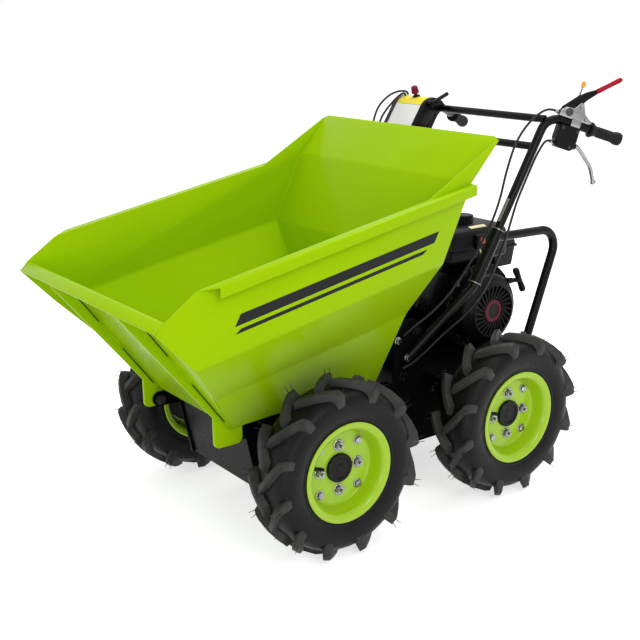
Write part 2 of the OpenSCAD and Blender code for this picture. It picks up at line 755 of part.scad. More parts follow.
// Stub pins of the tipping hinge: fixed to the skip's ears, they turn in the frame's eyes
module hinge_pin() {
    ear = arm_y - arm_t / 2 - seat_gap;
    outer = frame_half_w + side_gap;
    inner = frame_half_w - frame_t - side_gap;
    nut_h = 7;
    place() color(steel) both_sides() translate([hinge_x, 0, hinge_z]) across_machine() {
        translate([0, 0, inner - nut_h - 2])
            cylinder(h = ear - inner + nut_h + 2, r = hinge_pin_r, $fn = round_fn);
        translate([0, 0, outer]) cylinder(h = ear - outer, r = hinge_pin_r + 6, $fn = round_fn);
        translate([0, 0, inner - nut_h]) cylinder(h = nut_h, r = hinge_pin_r + 5, $fn = 6);
    }
}

// Cross bar with two rubber pads that the skip's floor rests on
module rest_pads() {
    half = frame_half_w - frame_t - seat_gap;
    pad_x = -floor_back_x + 60;
    place() color(black) {
        translate([pad_x - 20, -half, frame_top_z - 30]) cube([40, 2 * half, 24]);
        for (y = [-90, 90]) translate([pad_x, y, frame_top_z - 8])
            cylinder(h = floor_z - 0.3 - frame_top_z + 8, r = 16, $fn = round_fn);
    }
}

// Engine, drawn from the crankshaft's axis over the machine's centre plane

crank_z = deck_z + crank_h;
case_r = 84;
case_back_y = -104;
case_front_y = 16;
fan_y = 98;
tank_mid = [-643, 17];
tank_low_z = crank_z + fan_r + 4;
intake_x = crank_x + 75;
carb_l = 50;
filter_front_x = -(intake_x + carb_l + 2 * seat_gap);
filter_y = [-92, 26];
filter_l = 82;
filter_h = 90;
muffler_size = [104, 92, 68];
muffler_round = 16;
belt_y = [-160, -116];
belt_t = 3;
head_half_h = 52;

module at_crank() {
    translate([-crank_x, 0, crank_z]) children();
}

module engine_block() {
    case_w = case_front_y - case_back_y;
    place() color(black) {
        at_crank() {
            translate([0, case_back_y, 0]) across_machine() cylinder(h = case_w, r = case_r, $fn = round_fn);
            translate([-case_r, case_back_y, -crank_h]) cube([2 * case_r, case_w, crank_h]);
            translate([-case_r - 14, case_back_y + 10, -crank_h]) cube([2 * case_r + 28, case_w - 20, 14]);
            translate([0, case_back_y - 52, 0]) across_machine() cylinder(h = 60, r = 9.5, $fn = round_fn);
            for (x = [crank_x - intake_x, -20]) translate([x, -70, 40])
                cube([24, 70, tank_low_z - seat_gap - crank_z - 40]);
            rotate([0, -cylinder_slope, 0]) cylinder_and_head();
        }
    }
}

// Finned cylinder, head and rocker cover, drawn along +X
module cylinder_and_head() {
    fins = 7;
    fin_pitch = 11;
    translate([60, -88, -42]) cube([130, 96, 84]);
    for (i = [0 : fins - 1]) translate([92 + i * fin_pitch, -100, -56]) cube([4, 114, 112]);
    translate([168, -94, -head_half_h]) cube([34, 106, 2 * head_half_h]);
    translate([202, -84, -42]) cube([28, 84, 84]);
}

// Fan housing round the flywheel, with its duct towards the cylinder
module fan_housing() {
    depth = fan_y - case_front_y - seat_gap;
    duct = [184, 44, 118];
    place() color(black) at_crank() translate([0, case_front_y + seat_gap, 0]) difference() {
        union() {
            across_machine() cylinder(h = depth, r = fan_r, $fn = round_fn);
            rotate([0, -cylinder_slope, 0]) translate([0, 0, 54 - duct.z]) cube(duct);
        }
        translate([-fan_r, -1, -2 * crank_h + seat_gap]) cube([2 * fan_r, depth + 2, crank_h]);
    }
}

// Recoil starter's cover: a stepped dish with a sunk ring of ribs round a blank boss
module starter_cover() {
    face_r = starter_r - 28;
    boss_r = face_r - 40;
    depth = starter_y - fan_y;
    sink = 9;
    rib_w = 4.2;
    wall_t = 3;
    place() color(black) at_crank() translate([0, fan_y + seat_gap, 0]) across_machine() {
        rotate_extrude($fn = round_fn) polygon([
            [0, 0], [starter_r, 0], [starter_r, depth - 3 * sink], [starter_r - sink, depth - 1.5 * sink],
            [face_r + sink, depth - sink], [face_r + wall_t, depth - 2], [face_r, depth],
            [face_r - wall_t, depth],
            [face_r - wall_t, depth - sink], [boss_r + wall_t, depth - sink], [boss_r + wall_t, depth],
            [boss_r, depth], [boss_r - 2, depth - wall_t], [0, depth - wall_t]
        ]);
        for (i = [0 : grille_ribs - 1]) rotate(360 * i / grille_ribs)
            translate([boss_r + 2, -rib_w / 2, depth - sink - 1]) cube([face_r - boss_r - 4, rib_w, sink]);
    }
}

// Pull handle of the starter on its cord's guide
module starter_handle() {
    guide = [-crank_x - starter_r * 0.62, fan_y + 30, crank_z + starter_r * 0.62];
    grip = [-754, fan_y + 32, 472];
    place() color(black) {
        difference() {
            rod(guide + [20, 0, -4], grip, 5);
            at_crank() translate([0, fan_y - 1, 0]) across_machine()
                cylinder(h = starter_y - fan_y, r = starter_r + seat_gap, $fn = round_fn);
        }
        rod(grip + [17, 0, 33], grip - [17, 0, 33], 8.5);
    }
}

// Moulded fuel tank with rounded edges
module fuel_tank() {
    edge = 20;
    place() color(black) translate([tank_mid.x, tank_mid.y, tank_low_z]) hull()
        for (x = [-1, 1], y = [-1, 1]) translate([x * (tank_l / 2 - edge), y * (tank_w / 2 - edge - 14), 0]) {
            cylinder(h = 1, r = edge - 6, $fn = 24);
            translate([0, 0, 8]) cylinder(h = tank_h - 26, r = edge, $fn = 24);
            translate([0, 0, tank_h - 9]) cylinder(h = 9, r = edge - 12, $fn = 24);
        }
}

module fuel_cap() {
    cap_r = 27;
    cap_h = 24;
    place() color(black) translate([tank_mid.x - 2, tank_mid.y + 6, tank_low_z + tank_h + seat_gap]) {
        cylinder(h = cap_h - 4, r = cap_r, $fn = round_fn);
        translate([0, 0, cap_h - 4]) cylinder(h = 4, r1 = cap_r, r2 = cap_r - 5, $fn = round_fn);
    }
}

// Air filter's case: a sloped box, the rim where its cover meets its base, and the cover's clip
module air_filter() {
    front = filter_front_x;
    back = front - filter_l;
    low = crank_z + 72;
    top = low + filter_h;
    rim = low + 46;
    rim_out = 3;
    clip_w = 20;
    middle = (filter_y[0] + filter_y[1]) / 2;
    place() color(black) {
        side_plate(filter_y[0], filter_y[1]) polygon([
            [front, low + 4], [front, top - 14], [front - 8, top - 6], [back + 12, top], [back + 3, top - 7],
            [back, rim + 12], [back + 10, low + 6], [back + 18, low], [front - 6, low]
        ]);
        side_plate(filter_y[0] - rim_out, filter_y[1] + rim_out) polygon([
            [front + 2, rim], [front + 2, rim + 7], [back - rim_out, rim + 12], [back - rim_out, rim + 5]
        ]);
        side_plate(middle - clip_w / 2, middle + clip_w / 2) polygon([
            [back + 2, rim + 20], [back - 9, rim + 15], [back - 7, rim], [back + 2, rim - 6]
        ]);
    }
}

// Carburettor between the cylinder's intake and the air filter
module carburettor() {
    body = [carb_l, 38, 38];
    flange_t = 6;
    flange_out = 5;
    bowl_h = 25;
    at = [-intake_x - seat_gap - carb_l, -64, crank_z + 64];
    place() color(steel) {
        translate(at) cube(body);
        for (x = [0, carb_l - flange_t]) translate(at + [x, -flange_out, 0])
            cube([flange_t, body.y + 2 * flange_out, body.z]);
        translate(at + [carb_l / 2, body.y / 2, 1 - bowl_h]) cylinder(h = bowl_h, r = 16, $fn = round_fn);
    }
}

// Silencer over the cylinder's head, on its exhaust pipe, with its tail pipe ahead
module muffler() {
    low_z = crank_z + 144;
    half = [muffler_size.x / 2 - muffler_round, muffler_size.y / 2 - muffler_round];
    pipe_r = 13;
    pipe_drop = 40;
    tail_r = 11;
    tail_l = 14;
    place() color(black) translate([-crank_x + 168, -66, 0]) {
        translate([0, 0, low_z]) hull() for (x = [-1, 1], y = [-1, 1])
            translate([x * half.x, y * half.y, 0]) cylinder(h = muffler_size.z, r = muffler_round, $fn = 24);
        difference() {
            translate([-22, 0, low_z - pipe_drop]) cylinder(h = pipe_drop + 1, r = pipe_r, $fn = round_fn);
            translate([-168, 0, crank_z]) rotate([0, -cylinder_slope, 0])
                translate([0, -50, 0]) cube([400, 100, head_half_h + seat_gap]);
        }
        translate([muffler_size.x / 2 - 1, 0, low_z + 46]) rotate([0, 90, 0])
            cylinder(h = tail_l + 1, r = tail_r, $fn = round_fn);
    }
}

module belt_outline(inset) {
    hull() {
        translate([-crank_x, crank_z]) circle(66 - inset, $fn = round_fn);
        translate([-crank_x + 190, deck_z + 30]) circle(50 - inset, $fn = round_fn);
    }
}

// Cover of the belt down to the gearbox, open towards the engine and standing on the deck
module belt_guard() {
    place() color(black) difference() {
        side_plate(belt_y[0], belt_y[1]) belt_outline(0);
        side_plate(belt_y[0] + belt_t, belt_y[1] + 1) belt_outline(belt_t);
        translate([-crank_x - 200, belt_y[0] - 1, deck_z + seat_gap - 100])
            cube([500, belt_y[1] - belt_y[0] + 3, 100]);
    }
}

// Handlebar

module handle_left() {
    place() color(black) bent_tube(bar_path, bar_r, bend_r);
}

module handle_right() {
    place() color(black) bent_tube([for (p = bar_path) flip(p)], bar_r, bend_r);
}

module bar_clearance() {
    both_sides() bent_tube(bar_path, bar_r + seat_gap, bend_r);
}

module cross_bar_pair(extra) {
    for (p = cross_bars_at) translate([p.x, 0, p.y]) across_machine()
        cylinder(h = 2 * upright_y, r = cross_bar_r + extra, center = true, $fn = round_fn);
}

// Two bars between the uprights, their ends shaped to the tubes
module cross_bars() {
    place() color(black) difference() {
        cross_bar_pair(0);
        bar_clearance();
    }
}

// Upright's own axes: ahead, left and up along the tube, from the knee
module at_knee() {
    multmatrix(basis(cross([0, 1, 0], upright_dir), [0, 1, 0], upright_dir, bar_knee)) children();
}

module sleeve(extra) {
    translate([0, 0, sleeve_s[0] - extra])
        cylinder(h = sleeve_s[1] - sleeve_s[0] + 2 * extra, r = sleeve_r + extra, $fn = round_fn);
}

// Sleeves that clamp the uprights
module handle_brackets() {
    place() color(black) both_sides() at_knee() difference() {
        sleeve(0);
        cylinder(h = 2 * sleeve_s[1], r = bar_r + seat_gap, $fn = round_fn);
    }
}

// Guard hoops behind the engine, from the sleeves down to the deck
module rear_guard() {
    foot = guard_foot + 20 * unit(guard_foot - guard_corner);
    place() color(black) both_sides() difference() {
        bent_tube([guard_start, guard_corner, foot], guard_r, bend_r);
        at_knee() {
            sleeve(seat_gap);
            cylinder(h = 2 * sleeve_s[1], r = bar_r + seat_gap, $fn = round_fn);
        }
        translate([-1000, 0, 0]) cube([1000, 400, deck_z + seat_gap]);
    }
}

// Moulded grips on the handlebar's ends: a collar, a waist and a swollen end
module grips() {
    place() color(rubber) both_sides() multmatrix(along_basis(bar_end, grip_dir))
        rotate_extrude($fn = round_fn) polygon([
            [bar_r + seat_gap, -grip_l], [grip_collar_r, -grip_l], [grip_collar_r, 5 - grip_l],
            [grip_r + 1, 11 - grip_l], [grip_r - 1, 20 - grip_l], [grip_r, -18],
            [grip_end_r, -9], [grip_end_r, 0], [grip_cap_r, grip_cap],
            [0, grip_cap], [0, seat_gap], [bar_r + seat_gap, seat_gap]
        ]);
}

// Shift console round the right end of the cross bars: a hood bent over its top between two cheeks
console_y = [-304, -174];
console_t = 3;
console_mid = [-716, 884];
console_bend = 47;
console_slope = 57.4;
console_low_z = 842;
console_depth = 36;
gear_rod = [[-716, -240, 906], [-706, -240, 939]];
tip_rod = [[-698, -166, 917], [-757, -166, 940]];
gear_rod_r = 4;
tip_rod_r = 5.5;

// Foot of the hood's front face, and its bend, an inset behind the outer face
function hood_foot(inset) = let (
    p = console_mid + (console_bend - inset) * [sin(console_slope), cos(console_slope)]
) [p.x + (p.y - console_low_z) / tan(console_slope), console_low_z];
function hood_bend(inset) = [for (i = [0 : 10]) let (a = lerp(90 - console_slope, 155, i / 10))
    console_mid + (console_bend - inset) * [cos(a), sin(a)]];
function reversed(list) = [for (i = [len(list) - 1 : -1 : 0]) list[i]];

module console() {
    place() color(black) difference() {
        union() {
            side_plate(console_y[0], console_y[1]) polygon(concat(
                [hood_foot(0)], hood_bend(0), reversed(hood_bend(console_t)), [hood_foot(console_t)]
            ));
            for (y = [console_y[0], console_y[1] - console_t]) side_plate(y, y + console_t)
                polygon(concat([hood_foot(0)], hood_bend(0), [console_mid, hood_foot(console_depth)]));
        }
        bar_clearance();
        cross_bar_pair(seat_gap);
        rod(gear_rod[0], gear_rod[1], gear_rod_r + seat_gap);
    }
}

// Gear lever in its boot on the hood, and the tipping lever on its pivot at the console's side
module shift_levers() {
    boot_h = 14;
    boot_drop = 3;
    boot_r = 15;
    pivot_r = 9;
    place() color(black) {
        rod(gear_rod[0], gear_rod[1], gear_rod_r);
        difference() {
            translate([gear_rod[1].x - 5, gear_rod[1].y, gear_rod[1].z - boot_h - boot_drop])
                cylinder(h = boot_h, r1 = boot_r, r2 = 6.5, $fn = round_fn);
            translate([console_mid.x, gear_rod[1].y, console_mid.y]) across_machine()
                cylinder(h = 4 * boot_r, r = console_bend + seat_gap, center = true, $fn = 2 * round_fn);
        }
        rod(tip_rod[0], tip_rod[1], tip_rod_r);
        translate([tip_rod[0].x, console_y[1] + seat_gap, tip_rod[0].z]) across_machine()
            cylinder(h = 13, r = pivot_r, $fn = round_fn);
    }
}

// Knob turned round the line through its rod, from a foot on the rod's end
module knob(rod_ends, profile) {
    multmatrix(along_basis(rod_ends[1], rod_ends[1] - rod_ends[0])) rotate_extrude($fn = 32) polygon(profile);
}

module gear_knob() {
    place() color("crimson")
        knob(gear_rod, [[0, seat_gap], [6, seat_gap], [9.5, 5], [10.7, 11], [9.5, 17], [5, 21], [0, 22]]);
}

module at_grip() {
    multmatrix(basis(grip_side, grip_up, grip_dir, bar_top)) children();
}

// Plate beside the left bar, from x0 to x1: its outline runs along the bar and up
module grip_plate(x0, x1) {
    multmatrix(basis([0, 0, 1], [0, 1, 0], [-1, 0, 0], [x1, 0, 0])) linear_extrude(x1 - x0) children();
}

// Round piece across the left bar, from x0 to x1, at a place along the bar and up
module grip_boss(at, x0, x1, r) {
    grip_plate(x0, x1) translate(at) circle(r, $fn = round_fn);
}

module bar_bore() {
    cylinder(h = 2 * clamp_s[1], r = bar_r + seat_gap, $fn = round_fn);
}

module clamp_ring(extra) {
    translate([0, 0, 62 - extra]) cylinder(h = 26 + 2 * extra, r = bar_r + 4 + extra, $fn = round_fn);
}

// Plated clamp that carries the clutch lever and the throttle: two cheeks on a base along the bar
module lever_clamp() {
    base = bar_r - 1;
    top = bar_r + clamp_t;
    place() color(steel) at_grip() difference() {
        union() {
            clamp_ring(0);
            grip_plate(-clamp_half_w, clamp_half_w)
                translate([clamp_s[0], base]) square([clamp_s[1] - clamp_s[0], top - base]);
            for (x = [-clamp_half_w, clamp_half_w - clamp_t]) grip_plate(x, x + clamp_t) polygon([
                [clamp_s[0], base], [clamp_s[1], base], [clamp_s[1] + 1, 18], [108, 22], [93, 31], [80, 55],
                [72, 55], [60, 37], [38, 35], [clamp_s[0] + 1, 24]
            ]);
            grip_boss(lever_pivot, -clamp_half_w - 1, clamp_half_w + 1, lever_pin_r);
            grip_boss(lever_pivot, -clamp_half_w - 3, -clamp_half_w, lever_pin_r + 6);
        }
        bar_bore();
    }
}

// Flat clutch lever on its pin, narrowing to the end that takes the grip
module clutch_lever() {
    along = unit(lever_tip - lever_bend);
    end = 6 * [-along.y, along.x];
    place() color(black) at_grip() grip_plate(-lever_half_t, lever_half_t) difference() {
        polygon([
            [28, 31], [38, 17], [58, 16], [72, 38], [87, 64], lever_bend - end, lever_bend + end,
            [80, 84], [61, 69]
        ]);
        translate(lever_pivot) circle(lever_pin_r + seat_gap, $fn = round_fn);
    }
}

module clutch_grip() {
    length = norm(lever_tip - lever_bend);
    dome = [for (a = [0 : 15 : 75]) [lever_grip_r * cos(a), length + lever_grip_r * sin(a)]];
    foot = [0, lever_bend.y, lever_bend.x];
    place() color("crimson") at_grip() multmatrix(along_basis(foot, [0, lever_tip.y, lever_tip.x] - foot))
        rotate_extrude($fn = round_fn) polygon(concat(
            [[0, seat_gap], [lever_grip_r, seat_gap]], dome, [[0, length + lever_grip_r]]
        ));
}

// Throttle wire on its boss at the clamp's inner cheek
throttle_x = clamp_half_w + 3;
throttle_rod = [[throttle_x, 34, 68], [throttle_x, 90, 69.5]];

module throttle_lever() {
    place() color(steel) at_grip() {
        rod(throttle_rod[0], throttle_rod[1], 2.5);
        grip_boss([throttle_rod[0].z, throttle_rod[0].y], clamp_half_w + seat_gap, clamp_half_w + 6, 6);
    }
}

module throttle_knob() {
    place() color("gold") at_grip()
        knob(throttle_rod, [[0, seat_gap], [3, seat_gap], [4.5, 4], [6.2, 10], [5.8, 14], [3.4, 17.5], [0, 18.5]]);
}

// Housing of the brake lever and the stop switch, hung under the bar
module switch_box() {
    half_w = 17;
    place() color(black) difference() {
        at_grip() grip_plate(-half_w, half_w)
            polygon([
                [36, -8], [91, -8], [94, -56], [83, -67], [46, -67], [41, -62], [41, -54], [37, -48]
            ]);
        at_grip() clamp_ring(seat_gap);
        bar_clearance();
    }
}

// Brake lever, flat in section, from the housing down to its end
module brake_lever() {
    start = [for (s = [94.2, 103]) bar_top - 50 * grip_up + s * grip_dir];
    route = concat(start, [
        [-846, 236, 812], [-864, 236, 793], [-884, 236.5, 769], [-894.6, 238, 738], [-899.9, 238.5, 724.7]
    ]);
    place() color(steel) swept(route, 7, 12, 4.6);
}

module control_cables() {
    place() color(black) for (route = cables) swept(route, cable_r, 8, cable_r);
}

// Draw the whole machine, or one piece of it
frame_side_left();
frame_side_right();
frame_front();
frame_rear();
deck();
gearbox();
front_axle();
rear_axle();
hinge_pin();
rest_pads();
skip_side_left();
skip_side_right();
skip_floor();
skip_back();
skip_arms();
tyre_front_left();
tyre_front_right();
tyre_rear_left();
tyre_rear_right();
rim_front_left();
rim_front_right();
rim_rear_left();
rim_rear_right();
hub_front_left();
hub_front_right();
hub_rear_left();
hub_rear_right();
engine_block();
fan_housing();
starter_cover();
starter_handle();
fuel_tank();
fuel_cap();
air_filter();
carburettor();
muffler();
belt_guard();
handle_left();
handle_right();
cross_bars();
handle_brackets();
rear_guard();
grips();
console();
shift_levers();
lever_clamp();
clutch_lever();
clutch_grip();
throttle_lever();
throttle_knob();
gear_knob();
switch_box();
brake_lever();
control_cables();
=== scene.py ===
"""Looks of the walk-behind site dumper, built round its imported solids.

Sizes are in millimetres from the front axle's centre on the ground, as in the part's source,
and P() turns them into the row frame, in metres.
"""
import json
from math import atan, copysign, cos, pi, radians, sin, sqrt, tan

import bmesh
import bpy
from mathutils import Matrix, Vector


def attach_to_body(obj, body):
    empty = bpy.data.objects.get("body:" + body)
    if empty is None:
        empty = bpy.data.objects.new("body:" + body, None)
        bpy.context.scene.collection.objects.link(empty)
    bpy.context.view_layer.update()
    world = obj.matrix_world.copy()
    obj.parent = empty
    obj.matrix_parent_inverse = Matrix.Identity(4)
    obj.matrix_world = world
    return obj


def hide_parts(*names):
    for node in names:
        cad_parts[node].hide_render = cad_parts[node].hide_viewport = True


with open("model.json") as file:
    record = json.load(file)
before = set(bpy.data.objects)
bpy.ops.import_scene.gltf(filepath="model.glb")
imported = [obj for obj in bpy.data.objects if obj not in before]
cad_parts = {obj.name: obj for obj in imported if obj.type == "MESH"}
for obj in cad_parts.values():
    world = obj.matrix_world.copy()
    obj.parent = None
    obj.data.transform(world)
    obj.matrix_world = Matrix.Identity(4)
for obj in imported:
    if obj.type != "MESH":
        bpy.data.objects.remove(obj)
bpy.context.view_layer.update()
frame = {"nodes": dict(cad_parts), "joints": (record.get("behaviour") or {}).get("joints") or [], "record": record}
record = frame["record"]
joints = {j["name"]: j["pos_m"] for j in frame["joints"]}
SLOT_OF = {part["node"]: part["material_slot"] for part in record["subparts"]}
BODY_OF = {node: body for body, members in record["behaviour"]["bodies"].items() for node in members}

MM = 0.001
X, Y, Z = Vector((1, 0, 0)), Vector((0, 1, 0)), Vector((0, 0, 1))
SIDES = ((1, "left"), (-1, "right"))
DATUM_X, HALF_TRACK, AXLE_Z = (c / MM for c in joints["front_left_roll"])
REAR_X = joints["rear_left_roll"][0] / MM - DATUM_X
SKEW = Vector((0.21, 0.34, 0.92))  # a direction that no axis of the machine takes


def P(x, y, z):
    """Point in the row frame, in metres, from millimetres over the front axle."""
    return Vector(((x + DATUM_X) * MM, y * MM, z * MM))


def side_view(outline, y):
    """Points of an outline of (x, z), all at one distance across the machine."""
    return [P(x, y, z) for x, z in outline]


def turned(a, x=X, y=Z):
    """Unit vector at an angle between two square ones, the side view's unless others are given."""
    return x * cos(a) + y * sin(a)


def steps_round(count):
    """Equal angles round a full turn."""
    return [2 * pi * k / count for k in range(count)]


# Meshes

def basis(axis):
    """Three square unit vectors, the last along axis."""
    z = Vector(axis).normalized()
    x = SKEW.cross(z).normalized()
    return x, z.cross(x), z


def smooth_path(points, steps=6):
    """A finer path through the points (Catmull-Rom)."""
    pts = [points[0] * 2 - points[1]] + points + [points[-1] * 2 - points[-2]]
    out = []
    for i in range(1, len(pts) - 2):
        a, b, c, d = pts[i - 1:i + 3]
        for s in range(steps):
            t = s / steps
            out.append(0.5 * (2 * b + (c - a) * t + (2 * a - 5 * b + 4 * c - d) * t ** 2
                              + (3 * b - a - 3 * c + d) * t ** 3))
    return out + [pts[-2]]


def direction(path, i):
    """Which way a path runs at one of its points."""
    return (path[min(i + 1, len(path) - 1)] - path[max(i - 1, 0)]).normalized()


def round_edges(bm, width, segments, angle):
    """Rounds every edge that turns by more than angle degrees, by width millimetres."""
    edges = [e for e in bm.edges
             if len(e.link_faces) == 2 and e.calc_face_angle(0) > radians(angle)]
    bmesh.ops.bevel(bm, geom=edges, offset=width * MM, segments=segments, profile=0.5, affect="EDGES",
                    clamp_overlap=True)


class Shape:
    """The faces of one piece, in metres, each with a material number."""

    def __init__(self):
        self.verts, self.faces, self.mats = [], [], []

    def add(self, verts, faces, mat=0):
        base = len(self.verts)
        self.verts += [tuple(v) for v in verts]
        self.faces += [[base + i for i in f] for f in faces]
        self.mats += [mat] * len(faces)
        return self

    def merge(self, other):
        base = len(self.verts)
        self.verts += other.verts
        self.faces += [[base + i for i in f] for f in other.faces]
        self.mats += other.mats
        return self

    def both_sides(self):
        """Adds the mirror image on the machine's other side."""
        other = Shape().merge(self)
        other.verts = [(x, -y, z) for x, y, z in self.verts]
        return self.merge(other)

    def loft(self, rings, mat=0, closed=True, ends=True, loop=False):
        """Skin over rings of equal count: closed joins a ring's ends, loop the last ring to the first."""
        n, m = len(rings[0]), len(rings)
        faces = []
        for i in range(m if loop else m - 1):
            a, b = i * n, ((i + 1) % m) * n
            for k in range(n if closed else n - 1):
                j = (k + 1) % n
                faces.append([a + k, a + j, b + j, b + k])
        if ends and not loop:
            faces.append(list(range(n - 1, -1, -1)))
            faces.append([(m - 1) * n + k for k in range(n)])
        return self.add([p for r in rings for p in r], faces, mat)

    def lathe(self, profile, at, axis, n=48, mat=0):
        """A profile of (radius, height) in millimetres turned about an axis.

        A profile that starts off the axis makes a closed ring."""
        x, y, z = basis(axis)
        rings = [[at + turned(a, x, y) * (r * MM) + z * (h * MM) for r, h in profile]
                 for a in steps_round(n)]
        return self.loft(rings, mat, closed=profile[0][0] > 0, ends=False, loop=True)

    def tube(self, path, r, n=16, mat=0):
        """A round bar along a path; r in millimetres, one number or one for each point."""
        radii = r if isinstance(r, list) else [r] * len(path)
        rings, x = [], None
        for i, p in enumerate(path):
            d = direction(path, i)
            x = basis(d)[0] if x is None else (x - d * x.dot(d)).normalized()
            rings.append([p + turned(a, x, d.cross(x)) * (radii[i] * MM) for a in steps_round(n)])
        return self.loft(rings, mat)

    def prism(self, outline, axis, depth, mat=0):
        """A flat outline of points in metres, pulled depth millimetres along an axis."""
        step = Vector(axis).normalized() * (depth * MM)
        return self.loft([outline, [p + step for p in outline]], mat)

    def box(self, low, high, mat=0):
        """An upright box between two corners in millimetres over the front axle."""
        (x0, y0, z0), (x1, y1, z1) = low, high
        foot = [P(x, y, z0) for x, y in ((x0, y0), (x1, y0), (x1, y1), (x0, y1))]
        return self.prism(foot, Z, z1 - z0, mat)

    def slab(self, at, u, v, w, size, mat=0):
        """A box centred at a point with its own axes; size in millimetres."""
        u, v, w = (Vector(a).normalized() * (s * MM / 2) for a, s in zip((u, v, w), size))
        low = [at - w + a * u + b * v for a, b in ((-1, -1), (1, -1), (1, 1), (-1, 1))]
        return self.loft([low, [p + 2 * w for p in low]], mat)

    def nut(self, at, axis, r, h, mat=0, turn=0.0):
        """A hexagon with chamfered corners; r is over its corners."""
        x, y, z = basis(axis)
        corners = [turned(turn + k * pi / 3, x, y) for k in range(6)]
        levels = ((0.93, 0), (1, 0.12), (1, 0.82), (0.88, 1))
        return self.loft([[at + c * (r * wide * MM) + z * (h * high * MM) for c in corners]
                          for wide, high in levels], mat)

    def bolt(self, at, axis, r, mat=0, washer=True):
        """A hexagon head on a washer; r is over the head's corners."""
        h = r * 0.22 if washer else 0
        if washer:
            self.lathe([(0, 0), (r * 1.3, 0), (r * 1.3, r * 0.16), (r * 1.2, h), (0, h)], at, axis, 24, mat)
        return self.nut(at + Vector(axis).normalized() * (h * MM), axis, r, r * 0.72, mat)

    def bevel(self, width, segments=3, angle=25):
        """Rounds the sharp edges of all faces so far."""
        bm = self.mesh()
        round_edges(bm, width, segments, angle)
        bm.verts.index_update()
        self.verts = [tuple(v.co) for v in bm.verts]
        self.faces = [[v.index for v in f.verts] for f in bm.faces]
        self.mats = [f.material_index for f in bm.faces]
        bm.free()
        return self

    def mesh(self):
        """The faces as one clean mesh with its normals outward."""
        bm = bmesh.new()
        made = [bm.verts.new(v) for v in self.verts]
        for f, m in zip(self.faces, self.mats):
            bm.faces.new([made[i] for i in f]).material_index = m
        bmesh.ops.remove_doubles(bm, verts=bm.verts, dist=2e-6)
        bmesh.ops.dissolve_degenerate(bm, edges=bm.edges, dist=1e-7)
        bmesh.ops.recalc_face_normals(bm, faces=bm.faces)
        return bm


def link_object(name, data):
    """New object in the scene."""
    obj = bpy.data.objects.new(name, data)
    bpy.context.scene.collection.objects.link(obj)
    return obj


def new_object(name, bm, mats, sharp):
    """Object of a mesh with its materials, shaded smooth up to sharp degrees."""
    data = bpy.data.meshes.new(name)
    bm.to_mesh(data)
    bm.free()
    for m in mats:
        data.materials.append(m)
    data.polygons.foreach_set("use_smooth", [True] * len(data.polygons))
    data.set_sharp_from_angle(angle=radians(sharp))
    return link_object(name, data)


def attach(obj, body, replaces=()):
    """Lets an object ride on a body of the frame, in place of the nodes that it replaces."""
    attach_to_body(obj, body)
    if replaces:
        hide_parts(*replaces)
    return obj


def piece(name, shape, mats, node, sharp=35):
    """Makes the object that stands for a node, on the node's body."""
    return attach(new_object(name, shape.mesh(), mats, sharp), BODY_OF[node], [node])


def detail(name, shape, mats, body="chassis", sharp=35):
    """Makes an object that no node has."""
    return attach(new_object(name, shape.mesh(), mats, sharp), body)


# Materials

def set_inputs(node, values):
    """Sets some of a shader node's inputs by name."""
    for name, value in values.items():
        node.inputs[name].default_value = value
    return node


def new_material(name):
    """A material with its node tree and its main shader."""
    m = bpy.data.materials.new(name)
    m.use_nodes = True
    return m, m.node_tree, m.node_tree.nodes["Principled BSDF"]


def material(name, colour, rough, metallic=0.0, specular=0.5, coat=0.0, gleam=(1, 1, 1), tint=0.2,
             tint_scale=6.0, grain=900.0, bump=0.06, depth=0.0002, rough_spread=0.08, dust=0.0,
             dust_colour=None):
    """A surface whose colour varies a little, with a fine grain in bump and gloss, and dust in patches."""
    m, tree, shader = new_material(name)
    new, link = tree.nodes.new, tree.links.new
    set_inputs(shader, {"Metallic": metallic, "Specular IOR Level": specular, "Specular Tint": (*gleam, 1),
                        "Coat Weight": coat, "Coat Roughness": 0.12})
    place = new("ShaderNodeTexCoord")

    def noise(scale, octaves, roughness=0.55):
        values = {"Scale": scale, "Detail": octaves, "Roughness": roughness}
        n = set_inputs(new("ShaderNodeTexNoise"), values)
        link(place.outputs["Object"], n.inputs["Vector"])
        return n.outputs["Fac"]

    def ramp(value, low, high):
        spread = {"From Min": 0.3, "From Max": 0.7, "To Min": low, "To Max": high}
        r = set_inputs(new("ShaderNodeMapRange"), spread)
        link(value, r.inputs["Value"])
        return r.outputs["Result"]

    def mix(factor, a, b):
        n = new("ShaderNodeMix")
        n.data_type = "RGBA"
        link(factor, n.inputs["Factor"])
        for socket, value in ((n.inputs["A"], a), (n.inputs["B"], b)):
            if isinstance(value, tuple):
                socket.default_value = (*value, 1)
            else:
                link(value, socket)
        return n.outputs["Result"]

    dark = tuple(c * (1 - tint) for c in colour)
    light = tuple(min(1, c * (1 + tint)) for c in colour)
    shade = mix(ramp(noise(tint_scale, 4), 0, 1), dark, light)
    if dust:
        shade = mix(ramp(noise(tint_scale * 2.3, 8, 0.7), -dust, dust), shade, dust_colour)
    link(shade, shader.inputs["Base Color"])
    link(ramp(noise(grain / 6, 5), rough - rough_spread, rough + rough_spread), shader.inputs["Roughness"])
    b = set_inputs(new("ShaderNodeBump"), {"Strength": bump, "Distance": depth})
    link(noise(grain, 3), b.inputs["Height"])
    link(b.outputs["Normal"], shader.inputs["Normal"])
    return m


RUBBER = dict(tint=0.3, grain=700, bump=0.25, depth=0.0005, rough_spread=0.12)
MOULDED = dict(tint=0.06, tint_scale=20)
PRINTED = dict(grain=1500, bump=0.03, depth=0.0001)
BADGE_FACE = dict(grain=1200, bump=0.05, depth=0.0001)

